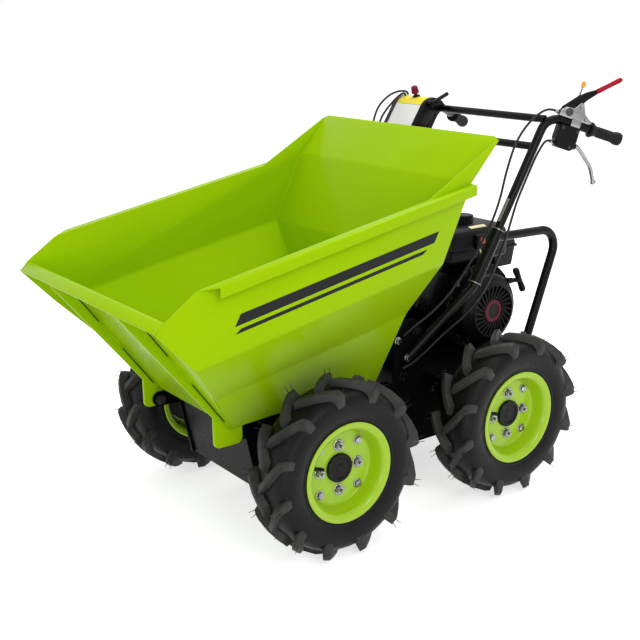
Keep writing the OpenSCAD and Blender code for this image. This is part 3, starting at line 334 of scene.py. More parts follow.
LIME = material("lime_powder_coat", (0.335, 0.555, 0.003), 0.22, specular=0.06, gleam=(0.6, 1.0, 0.03),
                tint=0.035, tint_scale=3, grain=650, bump=0.04, rough_spread=0.04)
RIM_LIME = material("lime_gloss_paint", (0.335, 0.555, 0.006), 0.13, specular=0.42, tint=0.03, grain=650,
                    bump=0.03, rough_spread=0.04)
BLACK = material("black_powder_coat", (0.003, 0.003, 0.0033), 0.26, specular=0.14, tint=0.25, bump=0.1,
                 dust=0.05, dust_colour=(0.012, 0.0115, 0.011))
FRAME_BLACK = material("frame_powder_coat", (0.0025, 0.0025, 0.0027), 0.34, specular=0.06)
ENGINE = material("engine_black", (0.004, 0.004, 0.0043), 0.4, specular=0.14, tint=0.3, grain=520,
                  bump=0.22, depth=0.0005, dust=0.06, dust_colour=(0.03, 0.029, 0.027))
PLASTIC = material("black_plastic", (0.0035, 0.0035, 0.0038), 0.42, specular=0.13, grain=1400, bump=0.2,
                   depth=0.0003)
TYRE = material("tyre_rubber", (0.0036, 0.0036, 0.0038), 0.42, specular=0.15, tint_scale=14, dust=0.1,
                dust_colour=(0.024, 0.023, 0.022), **RUBBER)
# lugs in a lighter copy of the tyre's rubber: painted light on their raised faces, along with more dust
LUG_RUBBER_LIT = material("lug_rubber_dust_and_painted_light", (0.028, 0.028, 0.0265), 0.6, specular=0.26, tint_scale=20, dust=0.2,
               dust_colour=(0.05, 0.049, 0.045), **RUBBER)
GRIP = material("grip_rubber", (0.0065, 0.0065, 0.0065), 0.6, specular=0.2, grain=1100, bump=0.25,
                depth=0.0003)
ZINC = material("zinc_plated_steel", (0.3, 0.3, 0.295), 0.2, metallic=1.0, tint=0.16, tint_scale=40,
                bump=0.1, rough_spread=0.1)
PIN = material("phosphated_steel", (0.06, 0.06, 0.06), 0.42, metallic=0.8, tint_scale=40, bump=0.1)
ALUMINIUM = material("cast_aluminium", (0.34, 0.34, 0.33), 0.3, metallic=1.0, tint=0.12, tint_scale=60,
                     grain=700, bump=0.14, depth=0.0003, rough_spread=0.1)
SOOT = material("muffler_steel", (0.05, 0.047, 0.044), 0.55, metallic=0.6, tint=0.35, tint_scale=30,
                grain=700, bump=0.2, depth=0.0004)
RED = material("red_plastic", (0.36, 0.003, 0.02), 0.3, specular=0.12, **MOULDED)
KNOB_RED = material("knob_crimson", (0.18, 0.002, 0.026), 0.3, specular=0.2, **MOULDED)
ORANGE = material("orange_plastic", (0.62, 0.09, 0.02), 0.35, **MOULDED)
YELLOW = material("yellow_plastic", (0.85, 0.36, 0.01), 0.3, coat=0.2, **MOULDED)
STICKER_YELLOW = material("sticker_yellow", (0.86, 0.72, 0.012), 0.35, tint=0.03, **PRINTED)
STICKER_PALE = material("sticker_pale", (0.80, 0.76, 0.42), 0.38, tint=0.03, **PRINTED)
STICKER_WHITE = material("sticker_white", (0.88, 0.88, 0.87), 0.35, tint=0.03, **PRINTED)
STICKER_GREY = material("sticker_grey", (0.2, 0.2, 0.2), 0.4, tint=0.05, **PRINTED)
# black of the side stripes, also used as painted shade on the floors of the arms' grooves
STRIPE_AND_SLIT_SHADE = material("black_stripe_and_painted_slit_shade", (0.006, 0.006, 0.0065), 0.4, specular=0.2, grain=1500, bump=0.04,
                  depth=0.0001)
BADGE = material("badge_grey", (0.012, 0.012, 0.013), 0.4, specular=0.15, **BADGE_FACE)
BADGE_RING = material("badge_dark_red", (0.14, 0.006, 0.022), 0.35, specular=0.2, tint=0.1, **BADGE_FACE)
CABLE = material("cable_sheath", (0.006, 0.006, 0.006), 0.34, specular=0.28, tint=0.15, grain=1800,
                 bump=0.05, depth=0.0001)

SLOT_MATERIALS = {"lime_paint": LIME, "black_paint": BLACK, "engine_black": ENGINE, "zinc_steel": ZINC,
                  "tyre": TYRE, "grip_rubber": GRIP, "black_plastic": PLASTIC, "red_plastic": RED,
                  "yellow_plastic": YELLOW}
FRAME_PLATES = ("frame_front", "frame_side_left", "frame_side_right", "frame_rear", "deck")
OWN_MATERIALS = {"hinge_pin": PIN, **dict.fromkeys(FRAME_PLATES, FRAME_BLACK)}
for node, slot in SLOT_OF.items():
    for s in frame["nodes"][node].material_slots:
        s.link = "OBJECT"
        s.material = OWN_MATERIALS.get(node, SLOT_MATERIALS[slot])


# Wheels

TYRE_R, LUGS, LUG_W = 205, 12, 21
NUT_CIRCLE, BOLT_CIRCLE, DISC_FACE = 105, 148, 8.1
VALVE_TURN = radians(17)


def wheel_point(x, side, r, y, a):
    """Point on a wheel from its radius, its distance outward along the axle and its angle."""
    return P(x + r * cos(a), side * (HALF_TRACK + y), AXLE_Z + r * sin(a))


def wheel_ring(x, side, profile):
    """A closed profile of (radius, distance outward) turned about a wheel's axle."""
    rings = [[wheel_point(x, side, r, y, a) for r, y in profile] for a in steps_round(96)]
    return Shape().loft(rings, 0, ends=False, loop=True)


def tyre(x, side):
    """Carcass with its two rows of lugs and the moulding hairs left on them."""
    half = [(103, 46), (112, 46.3), (117.5, 46.2), (119.5, 48), (122, 48.6), (124.5, 48), (130, 50.6),
            (140, 53), (152, 54), (163, 53), (172, 49.5), (179, 43), (184, 33), (186.8, 20), (188, 8)]
    shape = wheel_ring(x, side, half + [(r, -y) for r, y in reversed(half)])
    # a lug from the middle of the tread over the shoulder: its top's drop, distance out and degrees, and
    # its foot's radius and distance out
    top = [(0, -3, 0), (0, 14, 5.5), (1.2, 32, 12.5), (4, 48, 19), (10, 56, 20.6), (18, 58.5, 21),
           (30, 57.2, 21), (44, 53.6, 21)]
    foot = [(182, -8), (182, 12), (181, 28), (177, 39), (171, 44), (165, 47), (160, 48), (154, 48)]
    half_top = atan(LUG_W / 2 / TYRE_R)
    root = half_top * 1.5
    for hand in (1, -1):
        for i in range(LUGS):
            turn = -2 * pi * (i + (0 if hand > 0 else 0.5)) / LUGS
            sections = []
            for j, ((drop, ty, degrees), (fr, fy)) in enumerate(zip(top, foot)):
                tr = TYRE_R - drop
                a = radians(degrees) + turn
                wide = half_top * (1.0 + 0.08 * j / len(top))
                edge_r, edge_y = tr + (fr - tr) * 0.13, ty + (fy - ty) * 0.13
                ring = [(fr, fy, a - root), (edge_r, edge_y, a - wide), (tr, ty, a - wide * 0.86),
                        (tr, ty, a + wide * 0.86), (edge_r, edge_y, a + wide), (fr, fy, a + root)]
                sections.append([wheel_point(x, side, r, hand * y, b) for r, y, b in ring])
            # material 1 is the lighter rubber: painted light on the lugs
            shape.loft(sections, 1)
            # moulding hairs on the lug's outer corner, none where it stands on the ground
            for k in (-0.5, 0.55):
                a = radians(20.8) + turn + half_top * k
                if sin(a) > -0.9:
                    hair = [wheel_point(x, side, TYRE_R - 12, hand * 56, a),
                            wheel_point(x, side, TYRE_R + 4, hand * 61, a + 0.02 * k)]
                    shape.tube(hair, [1.0, 0.55], 5)
    return shape


def rim(x, side):
    """Rim with rolled flanges and a bowl down to the flat disc."""
    bowl = [(26.4, 8), (62, 8), (82, 8), (85.4, 8.8), (87.4, 11.2), (89, 15.6), (91.6, 25), (95.6, 37.6),
            (98.4, 44), (103, 47.6), (110, 49.6)]
    roll = [(113.6, 50), (115.6, 48.6), (115.4, 46.9), (112, 46.6), (106, 46.4), (102.4, 45), (101, 42)]
    back = [(109, -49.4), (103, -46.5), (98.4, -43), (97.5, -38), (97.5, -2), (94, 2), (89, 4), (82, 4.4),
            (26.4, 4.4)]
    return wheel_ring(x, side, bowl + roll + [(r, -y) for r, y in reversed(roll)] + back)


def hub(x, side):
    """Hub with its cap, studs, nuts and the bolts that join the rim's halves."""
    out = Y * side
    shape = Shape()
    shape.lathe([(0, 14.6), (9, 14.6), (10, 13.4), (22, 13.4), (23.5, 15), (29, 16.6), (31.6, 16.4),
                 (33.2, 15), (33.5, 12.5), (33.5, 8.2), (26, 8.2), (26, 2.8), (80, 2.8), (82, 1), (82, -5),
                 (60, -9), (24.5, -15), (24, -16), (24, -56), (12.6, -56), (12.6, 6), (0, 6)],
                P(x, side * HALF_TRACK, AXLE_Z), out, 64)
    for k in range(4):
        at = wheel_point(x, side, NUT_CIRCLE / 2, DISC_FACE, k * pi / 2)
        shape.lathe([(0, 0), (13.5, 0), (13.5, 1.4), (12.6, 2.1), (0, 2.1)], at, out, 32, 1)
        shape.nut(at + out * 2.1 * MM, out, 10.2, 8.2, 1, turn=0.3 + k)
        shape.lathe([(0, 0), (4, 0), (4, 15), (3.2, 16.2), (0, 16.2)], at, out, 20, 1)
        between = pi / 4 + k * pi / 2
        shape.bolt(wheel_point(x, side, BOLT_CIRCLE / 2, DISC_FACE, between), out, 8.4, 1)
    return shape


def valve(x, side):
    """Rubber valve stem standing out of the bowl."""
    at = wheel_point(x, side, 95, 22, VALVE_TURN)
    lean = wheel_point(x, side, 62, 31, VALVE_TURN) - at
    stem = [(0, -4), (7.6, -4), (7.6, 0), (6.2, 3), (4.6, 8), (4.2, 22), (4.0, 24), (0, 24)]
    cap = [(0, 24), (3.1, 24), (3.1, 26), (4.2, 26.2), (4.2, 34), (3.4, 35.4), (0, 35.4)]
    return Shape().lathe(stem, at, lean, 24).lathe(cap, at, lean, 20)


for end, at_x in (("front", 0), ("rear", REAR_X)):
    for hand, side in SIDES:
        place = f"{end}_{side}"
        piece(f"tyre_{place}_tread", tyre(at_x, hand), [TYRE, LUG_RUBBER_LIT], f"tyre_{place}", sharp=32)
        piece(f"rim_{place}_pressed", rim(at_x, hand), [RIM_LIME], f"rim_{place}", sharp=50)
        piece(f"hub_{place}_nuts", hub(at_x, hand), [BLACK, ZINC], f"hub_{place}")
        detail(f"valve_{place}", valve(at_x, hand), [PLASTIC], f"wheel_{place}")


# Skip

SKIP_W, KNEE_W, FLOOR_FRONT_W, WALL, SEAT = 654, 440, 344, 3.2, 0.2
FLOOR_Z, FLOOR_FRONT_X, FLOOR_BACK_X = 297, 182, 256
CREASE_Z, KNEE_Z, LIP_Z, LIP_L, HEAD_Z, HEAD_CUT, WING_L = 505, 388, 611, 30, 889, 13, 128
FLANGE_W, FLANGE_DROP, FLANGE_SKEW = 22, 24, 35.2
BACK_LEAN, RIM_LEAN, HEAD_LEAN = 6, 25.3, 42.8
ARM_Y, ARM_T, SLIT = 160, 8, 3.4
RISE = tan(radians(10.3))
FRONT = radians(36.2)
INSIDE = P(0, 0, 600)


def front_line(z):
    """Place along the machine of the front plate at a height."""
    return FLOOR_FRONT_X + (z - FLOOR_Z) * tan(FRONT)


def rise_line(point, x):
    """Height at x of a line through a point that rises towards the back."""
    return point[1] + (point[0] - x) * RISE


def meet(point, foot, lean):
    """Where a rising line through a point meets a wall that leans back from its foot."""
    k = -tan(radians(lean))
    h = (point[1] + RISE * (point[0] - foot[0] + k * foot[1])) / (1 + RISE * k)
    return (foot[0] + k * (h - foot[1]), h)


FLOOR_FRONT = (FLOOR_FRONT_X, FLOOR_Z)
CREASE_FRONT = (front_line(CREASE_Z) + 20, CREASE_Z)
KNEE_FRONT = (front_line(KNEE_Z), KNEE_Z)
RIM_FRONT = (344, 665)
LIP_TOP = (front_line(LIP_Z), LIP_Z)
LIP_END = (LIP_TOP[0] + LIP_L * cos(FRONT), LIP_TOP[1] - LIP_L * sin(FRONT))
BACK_FOOT = (-FLOOR_BACK_X, FLOOR_Z)
BACK_KNEE = meet(KNEE_FRONT, BACK_FOOT, BACK_LEAN)
BACK_CREASE = meet(CREASE_FRONT, BACK_FOOT, BACK_LEAN)
BACK_RIM = meet(RIM_FRONT, BACK_CREASE, RIM_LEAN)
HEAD_RUN = tan(radians(HEAD_LEAN))
BACK_TOP = (BACK_RIM[0] - HEAD_RUN * (HEAD_Z - BACK_RIM[1]), HEAD_Z)
WING_FOOT = (BACK_RIM[0] + WING_L, rise_line(RIM_FRONT, BACK_RIM[0] + WING_L) - WALL / 2)
FLARE = (KNEE_W - FLOOR_FRONT_W) / 2 / (rise_line(KNEE_FRONT, FLOOR_FRONT_X) - FLOOR_Z)


def side_y(p):
    """Half the skip's width over its side walls at a point seen from the side."""
    crease, knee = rise_line(CREASE_FRONT, p[0]), rise_line(KNEE_FRONT, p[0])
    if p[1] >= crease - 1e-6:
        return SKIP_W / 2
    if p[1] >= knee - 1e-6:
        return (KNEE_W + (SKIP_W - KNEE_W) * (p[1] - knee) / (crease - knee)) / 2
    return KNEE_W / 2 - FLARE * (knee - p[1])


def round_corner(before, corner, after, cut):
    """Points of a rounded corner that starts and ends a distance from the sharp one, seen flat."""
    c = Vector(corner)
    a = c + (Vector(before) - c).normalized() * cut
    b = c + (Vector(after) - c).normalized() * cut
    return [tuple(a * (1 - t) ** 2 + c * 2 * t * (1 - t) + b * t ** 2) for t in (k / 5 for k in range(6))]


def folded_sheet(name, loops, fold, inside, replaces=()):
    """Sheet of the skip from flat panels that share edges: rounds the folds, then gives it its thickness.

    inside is a point on the side that the thickness goes to."""
    corners, faces = [], []
    for loop in loops:
        face = []
        for p in loop:
            for i, q in enumerate(corners):
                if (q - p).length < 1e-5:
                    break
            else:
                i = len(corners)
                corners.append(p)
            face.append(i)
        faces.append(face)
    bm = bmesh.new()
    made = [bm.verts.new(c) for c in corners]
    for f in faces:
        bm.faces.new([made[i] for i in f])
    bmesh.ops.recalc_face_normals(bm, faces=bm.faces)
    biggest = max(bm.faces, key=lambda f: f.calc_area())
    if (inside - biggest.calc_center_median()).dot(biggest.normal) < 0:
        bmesh.ops.reverse_faces(bm, faces=bm.faces)
    round_edges(bm, fold, 4, 3)
    obj = new_object(name, bm, [LIME], 40)
    solid = obj.modifiers.new("thickness", "SOLIDIFY")
    solid.thickness = WALL * MM
    solid.offset = 1
    solid.use_even_offset = True
    edge = obj.modifiers.new("edge", "BEVEL")
    edge.width = 0.7 * MM
    edge.segments = 2
    edge.limit_method = "ANGLE"
    edge.angle_limit = radians(50)
    attach(obj, "skip", replaces)


def add_side_walls():
    """Both side walls with their wings, and the flanges folded out along their rims."""
    upper = [(RIM_FRONT[0], RIM_FRONT[1] - WALL / 2), (LIP_TOP[0] + 4, LIP_TOP[1] + 4), LIP_END,
             CREASE_FRONT, BACK_CREASE, BACK_RIM]
    upper += round_corner(BACK_RIM, BACK_TOP, WING_FOOT, HEAD_CUT) + [WING_FOOT]
    panels = [upper, (CREASE_FRONT, KNEE_FRONT, BACK_KNEE, BACK_CREASE),
              (KNEE_FRONT, FLOOR_FRONT, BACK_FOOT, BACK_KNEE)]
    root, edge, drop = SKIP_W / 2 - WALL * 0.8, SKIP_W / 2 + FLANGE_W, FLANGE_DROP
    front_in, back = RIM_FRONT[0] - 4, BACK_RIM[0] + 4
    front_out = front_in - FLANGE_SKEW
    for hand, side in SIDES:
        def on_rim(x, y, down=0):
            return P(x, hand * y, rise_line(RIM_FRONT, x) - down)

        loops = [[P(p[0], hand * side_y(p), p[1]) for p in panel] for panel in panels]
        folded_sheet(f"skip_side_{side}_sheet", loops, 7, INSIDE, [f"skip_side_{side}"])
        folded_sheet(f"skip_flange_{side}", [
            [on_rim(front_in, root), on_rim(front_out, edge), on_rim(back, edge), on_rim(back, root)],
            [on_rim(front_out, edge), on_rim(front_out, edge, drop), on_rim(back, edge, drop),
             on_rim(back, edge)],
        ], 4.5, P(0, hand * 335, 300))


def pair(x, y, z):
    """A point on the left and its mirror image on the right."""
    return P(x, y, z), P(x, -y, z)


def across(p):
    """Pair of points against the side walls' inner faces."""
    return pair(p[0], side_y(p) - WALL - SEAT, p[1])


def panel_of(pairs):
    """Outline of a panel whose left edge runs through the pairs and back on the right."""
    return [p[0] for p in pairs] + [p[1] for p in reversed(pairs)]


def add_floor_and_back():
    """The floor with its front plate and lip, and the back wall with its headboard."""
    floor_back = across((-FLOOR_BACK_X + WALL / cos(radians(BACK_LEAN)) + SEAT, FLOOR_Z))
    crease = rise_line(CREASE_FRONT, 335)
    front = [across(p) for p in (FLOOR_FRONT, KNEE_FRONT, (front_line(crease), crease), LIP_TOP)]
    panels = [[floor_back, front[0]], front, [front[3], across(LIP_END)]]
    folded_sheet("skip_floor_sheet", [panel_of(p) for p in panels], 5, INSIDE, ["skip_floor"])
    back = [across(p) for p in (BACK_FOOT, BACK_KNEE, BACK_CREASE, BACK_RIM)]
    half = side_y(BACK_TOP) - WALL - SEAT
    top = [pair(BACK_TOP[0] + HEAD_RUN * (HEAD_Z - z), y, z)
           for y, z in round_corner((half, 800), (half, HEAD_Z), (0, HEAD_Z), HEAD_CUT + WALL)]
    panels = [back[:3], back[2:], [back[3]] + top]
    folded_sheet("skip_back_sheet", [panel_of(p) for p in panels], 6, INSIDE, ["skip_back"])


def bead(path, r=2.2, pitch=5.0):
    """Weld bead along straight runs, with the ripples of the pool."""
    shape = Shape()
    for a, b in zip(path, path[1:]):
        count = max(4, int((b - a).length / MM / pitch * 2))
        line = [a.lerp(b, i / count) for i in range(count + 1)]
        shape.tube(line, [r * (1.12 if i % 2 else 0.9) for i in range(count + 1)], 8)
    return shape


def add_welds():
    """Beads along the skip's seams, outside and inside, and on its arms."""
    head_end = tuple(Vector(BACK_RIM).lerp(Vector(BACK_TOP), 0.86))
    outside_front = [FLOOR_FRONT, KNEE_FRONT, (front_line(508), 508)]
    outside_back = [BACK_FOOT, BACK_KNEE, BACK_CREASE, BACK_RIM, head_end]
    inside_front = [(FLOOR_FRONT_X - 4, FLOOR_Z + 4), (KNEE_FRONT[0] - 4, KNEE_Z),
                    (front_line(512) - 4, 512), (LIP_TOP[0] - 4, LIP_Z - 2)]
    inside_back = [(BACK_FOOT[0] + 5, FLOOR_Z + 5)]
    inside_back += [(x + 4, z) for x, z in (BACK_KNEE, BACK_CREASE, BACK_RIM)]
    welds = Shape()
    for hand in (1, -1):
        def seam(p, inward, along_x=0.0, up=0.0):
            return P(p[0] + along_x, hand * (side_y(p) - inward), p[1] + up)

        welds.merge(bead([seam(p, 2.4, 1.2, -0.6) for p in outside_front], 1.9))
        welds.merge(bead([seam(p, 3.6, -0.6) for p in outside_back], 2.0))
        welds.merge(bead([seam(BACK_FOOT, 2.6, 2, -0.4), seam(FLOOR_FRONT, 2.6, -2, -0.4)], 1.9))
        welds.merge(bead([seam(p, 3.9) for p in inside_front], 1.7))
        welds.merge(bead([seam(p, 4.0) for p in inside_back], 1.7))
        # beads between each arm and the front plate, one between the slits and one at each end
        for ends in ((302, 312), (422, 482), (598, 606)):
            for y in (ARM_Y - 5, ARM_Y + 5):
                welds.merge(bead([P(front_line(z) + 0.8, hand * y, z) for z in ends], 2.1, 4))
    detail("skip_welds", welds, [LIME], "skip", sharp=60)


def arm_outline(gap):
    """The arm seen from the side, with two open gaps of this width along the front plate."""
    hinge_x, hinge_z = joints["skip_tip"][0] / MM - DATUM_X, joints["skip_tip"][2] / MM
    low, near, far, turn = hinge_z - 18, hinge_x + 36, hinge_x - 36, 14
    slant = (sin(FRONT), cos(FRONT))
    under = WALL + SEAT
    foot = (FLOOR_FRONT_X + 0.25, FLOOR_Z - SEAT)
    top = (LIP_TOP[0] - under * slant[0] + 0.2 * slant[1], LIP_Z - under * slant[1] - 0.2 * slant[0])
    outline = [(far, FLOOR_Z - SEAT), foot]
    for start, stop in ((0.05, 0.38), (0.62, 0.95)):
        for share, deep in ((start, 0), (start, gap), (stop, gap), (stop, 0)):
            at = Vector(foot).lerp(Vector(top), share)
            outline.append((at.x + deep * slant[1], at.y - deep * slant[0]))
    outline += [top, (LIP_END[0] - under * slant[0], LIP_END[1] - under * slant[1]), (near, FLOOR_Z + 28)]
    for middle, first in ((near - turn, 0), (far + turn, 90)):
        for degrees in range(first, first + 91, 15):
            a = radians(-degrees)
            outline.append((middle + turn * cos(a), low + turn + turn * sin(a)))
    return outline


def add_arms():
    """Hinge arms, with grooves in place of the slits along the front plate, their floors black as painted shade.
    """
    arms = Shape()
    core = 1.4
    for hand in (1, -1):
        def ring(gap, y):
            return side_view(arm_outline(gap), hand * y)

        arms.loft([ring(0, ARM_Y - core), ring(0, ARM_Y + core)], 0, ends=False)
        for way in (-1, 1):
            face, groove = ARM_Y + way * ARM_T / 2, ARM_Y + way * core
            arms.loft([ring(SLIT, face), ring(SLIT, groove)], 0, ends=False)
            # the groove's floor in material 1, black: painted shade standing in for the dark slit
            arms.loft([ring(SLIT, groove), ring(0, groove)], 1, ends=False)
            cap = ring(SLIT, face)
            arms.add(cap, [range(len(cap))])
    arms.bevel(0.8, 2, 40)
    piece("skip_arm_plates", arms, [LIME, STRIPE_AND_SLIT_SHADE], "skip_arms")


def add_stripes():
    """Two plain stripes along each side wall."""
    stripes = Shape()
    for hand in (1, -1):
        y = hand * (SKIP_W / 2 + 0.12)
        for z0, z1, x0, x1 in ((590, 612, 262, -262), (574, 582, 262, -228)):
            outline = [(x0, z0), (x0 - 14, z1), (x1 - 14, z1), (x1, z0)]
            stripes.prism([P(x, y, z + (200 - x) * RISE) for x, z in outline], Y * hand, 0.2)
    detail("skip_stripes", stripes, [STRIPE_AND_SLIT_SHADE], "skip")


add_side_walls()
add_floor_and_back()
add_welds()
add_arms()
add_stripes()


# Frame

FRAME_FACE, FLANGE_BOLTS, DECK_Z, REAR_FACE = 151, 42, 300, -768


def add_frame_details():
    """Bolts of the frame's plates and the flanges of the axle tubes."""
    bolts = Shape()
    for hand in (1, -1):
        for x, z, r, mat in ((-345, 345, 8.5, 1), (-312, 393, 8, 1), (-372, 404, 9, 0), (-330, 300, 9, 0),
                             (-250, 262, 9, 0), (-60, 262, 8, 0), (70, 262, 8, 0), (-430, 250, 10, 0),
                             (-620, 268, 9, 0), (-720, 268, 9, 0), (-700, 214, 9, 0)):
            bolts.bolt(P(x, hand * FRAME_FACE, z), Y * hand, r, mat)
        for x in (0, REAR_X):
            for degrees in (45, 135, 225, 315):
                at = P(x, hand * (FRAME_FACE + 6), AXLE_Z) + turned(radians(degrees)) * FLANGE_BOLTS * MM
                bolts.bolt(at, Y * hand, 8)
    for y in (-110, 110):
        for z in (262, 214):
            bolts.bolt(P(REAR_FACE, y, z), -X, 9)
    for x in (-740, -420):
        for y in (-196, 196):
            bolts.bolt(P(x, y, DECK_Z), Z, 9)
    detail("frame_bolts", bolts, [BLACK, ZINC])

    profile = [(24.3, 0), (60, 0), (60, 4.6), (58.6, 6), (31, 6), (28, 9), (26.4, 20), (24.3, 20)]
    flanges = Shape()
    for hand in (1, -1):
        for x in (0, REAR_X):
            flanges.lathe(profile, P(x, hand * (FRAME_FACE + SEAT), AXLE_Z), Y * hand)
    detail("axle_flanges", flanges, [BLACK])


add_frame_details()


# Engine

CRANK_X, CRANK_Z = -640, 410
FAN_BACK, FAN_Y, STARTER_Y, STARTER_R, FAN_R = 16.2, 98, 152, 96, 118
TANK_X, TANK_Y, TANK_L, TANK_W, TANK_LOW, TANK_H = -643, 17, 226, 144, 532, 90
HEAD_SLOPE = radians(25)
HEAD_ALONG, HEAD_ABOVE = turned(HEAD_SLOPE), turned(HEAD_SLOPE, Z, -X)
BELT_Y, BELT_W, DRUM_R, PULLEY_R, PULLEY_X, PULLEY_Z = -160, 44, 66, 50, CRANK_X + 190, 330


def arc(x, z, r, first, last, count):
    """Points (x, z) of an arc from one angle to another, in degrees."""
    return [(x + r * cos(a), z + r * sin(a))
            for a in (radians(first + (last - first) * k / count) for k in range(count + 1))]


def add_starter():
    """Starter cover with its grille and blank badge."""
    depth = STARTER_Y - FAN_Y
    centre = P(CRANK_X, FAN_Y + SEAT, CRANK_Z)
    cover = Shape()
    cover.lathe([(0, 0), (STARTER_R, 0), (STARTER_R, depth * 0.5), (STARTER_R - 2, depth * 0.62),
                 (STARTER_R - 8, depth * 0.75), (STARTER_R - 16, depth * 0.81), (78, depth * 0.84),
                 (74, depth - 4), (71, depth - 1), (68, depth), (66, depth - 0.6), (65, depth - 9),
                 (34, depth - 9), (33.4, depth - 1), (32, depth), (30.6, depth - 1), (30.2, depth - 3),
                 (0, depth - 3)], centre, Y, 72)
    for a in steps_round(26):
        radial = turned(a)
        along = radial + radial.cross(Y) * 0.32
        at = centre + radial * 49.5 * MM + Y * (depth - 5.6) * MM
        cover.slab(at, along, along.cross(Y), Y, (36, 4.8, 8.4))
    for degrees in (80, 200, 320):
        at = centre + turned(radians(degrees)) * (STARTER_R + 7) * MM
        cover.lathe([(0, 0), (9, 0), (9, 6), (8, 7), (0, 7)], at, Y, 24)
        cover.nut(at + Y * 7 * MM, Y, 6.2, 4.5)
    badge = ((0, 3.1), (19.4, 3.1), (19.4, 2.4), (0, 2.4))
    badge_ring = ((19.6, 3.1), (29.8, 3.1), (29.8, 1.9), (29, 1.4), (20.4, 1.4), (19.6, 1.9))
    for mat, profile in ((1, badge), (2, badge_ring)):
        cover.lathe([(r, depth - down) for r, down in profile], centre, Y, 48, mat)
    piece("starter_grille", cover, [PLASTIC, BADGE, BADGE_RING], "starter_cover")


def add_fan_shroud():
    """Fan housing with its duct along the cylinder."""
    low = P(CRANK_X, FAN_BACK, CRANK_Z)
    outline = arc(0, 0, FAN_R, -62, 242, 76) + [(-55, -108), (55, -108)]
    outline = [low + Vector((x, 0, z)) * MM for x, z in outline]
    fan = Shape().prism(outline, Y, FAN_Y - FAN_BACK).bevel(7, 4, 50)
    at = low + HEAD_ALONG * 92 * MM + HEAD_ABOVE * -5 * MM + Y * 22 * MM
    fan.merge(Shape().slab(at, HEAD_ALONG, Y, HEAD_ABOVE, (184, 44, 118)).bevel(9, 4, 50))
    bolts = [(degrees, 6.4, 0) for degrees in (20, 70, 140, 200, 250)] + [(42, 5.4, 1)]
    for degrees, r, mat in bolts:
        at = P(CRANK_X, FAN_Y, CRANK_Z) + turned(radians(degrees)) * (FAN_R - 9) * MM
        fan.bolt(at, Y, r, mat)
    piece("fan_shroud", fan, [BLACK, ZINC], "fan_housing")


def add_pull():
    """Starter handle in its guide."""
    grip = P(-754, FAN_Y + 32, 472)
    half = 37
    end = [(0, half), (4, half), (7.6, half - 2), (9.2, half - 7), (8.4, half / 2)]
    pull = Shape().lathe([(r, -h) for r, h in end] + [(7.4, 0)] + end[::-1], grip, (17, 0, 33), 28)
    start = P(CRANK_X - STARTER_R * 0.7, FAN_Y + 31, CRANK_Z + STARTER_R * 0.68)
    pull.tube([start.lerp(grip, s) for s in (0, 0.35, 0.4, 0.75, 0.8, 1)], [8.5, 8, 6.2, 6.2, 7, 7.5], 18)
    piece("starter_pull", pull, [PLASTIC], "starter_handle")


def add_tank():
    """Fuel tank with its seam, ribbed cap, blank label and the engine switch."""
    half_l, half_w = TANK_L / 2, TANK_W / 2

    def level(z, inset, corner):
        ring = []
        for cx, cy, start in ((1, 1, 0), (-1, 1, 90), (-1, -1, 180), (1, -1, 270)):
            x, y = cx * (half_l - inset - corner), cy * (half_w - inset - corner)
            middle = P(TANK_X + x, TANK_Y + y, TANK_LOW + z)
            ring += [middle + turned(radians(start + 15 * k), X, Y) * corner * MM for k in range(7)]
        return ring

    levels = ((0.4, 10, 14), (2, 5, 17), (7, 1.4, 20), (13, 0.4, 21), (36, 0, 21), (38, -2.2, 22),
              (42, -2.2, 22), (44, 0, 21), (64, 0.8, 21), (74, 3.4, 21), (81, 8, 20), (86, 15, 18),
              (89, 25, 14), (90, 36, 10))
    tank = Shape().loft([level(*row) for row in levels])
    neck = P(TANK_X - 2, TANK_Y + 6, TANK_LOW + TANK_H)
    tank.lathe([(0, -8), (33, -8), (33, 0.4), (31, 1.6), (0, 1.6)], neck, Z, 48)
    piece("fuel_tank_moulded", tank, [PLASTIC], "fuel_tank", sharp=50)

    rings = []
    for r, h in ((24, 1.8), (27, 2.2), (27, 19.5), (25.4, 22.6), (20, 24), (18, 23.4), (0.5, 23.4)):
        rib = 0.9 if 2 < h < 22.8 else 0
        rings.append([neck + turned(a, X, Y) * ((r + (rib if k % 3 else -rib) - 0.6) * MM) + Z * (h * MM)
                      for k, a in enumerate(steps_round(72))])
    piece("fuel_cap_ribbed", Shape().loft(rings), [PLASTIC], "fuel_cap", sharp=30)

    at = P(TANK_X - 8, TANK_Y + 54, TANK_LOW + TANK_H - 2.2)
    label = Shape().slab(at, X, (0, 1, -0.35), (0, 0.35, 1), (56, 12, 0.5))
    detail("tank_label", label, [STICKER_PALE])

    near = TANK_Y + half_w
    switch = Shape().box((-656, near - 3, 566), (-624, near + 10, 604)).bevel(3, 3, 40)
    switch.merge(Shape().box((-650, near + 9, 580), (-630, near + 15, 598), 1).bevel(2, 3, 40))
    lead = [P(-640, near + 4, 567), P(-642, near + 7, 552), P(-646, near + 4, 536), P(-648, near - 6, 522)]
    switch.tube(smooth_path(lead, 5), 2.2, 10, 2)
    detail("engine_switch", switch, [PLASTIC, ORANGE, STICKER_PALE])


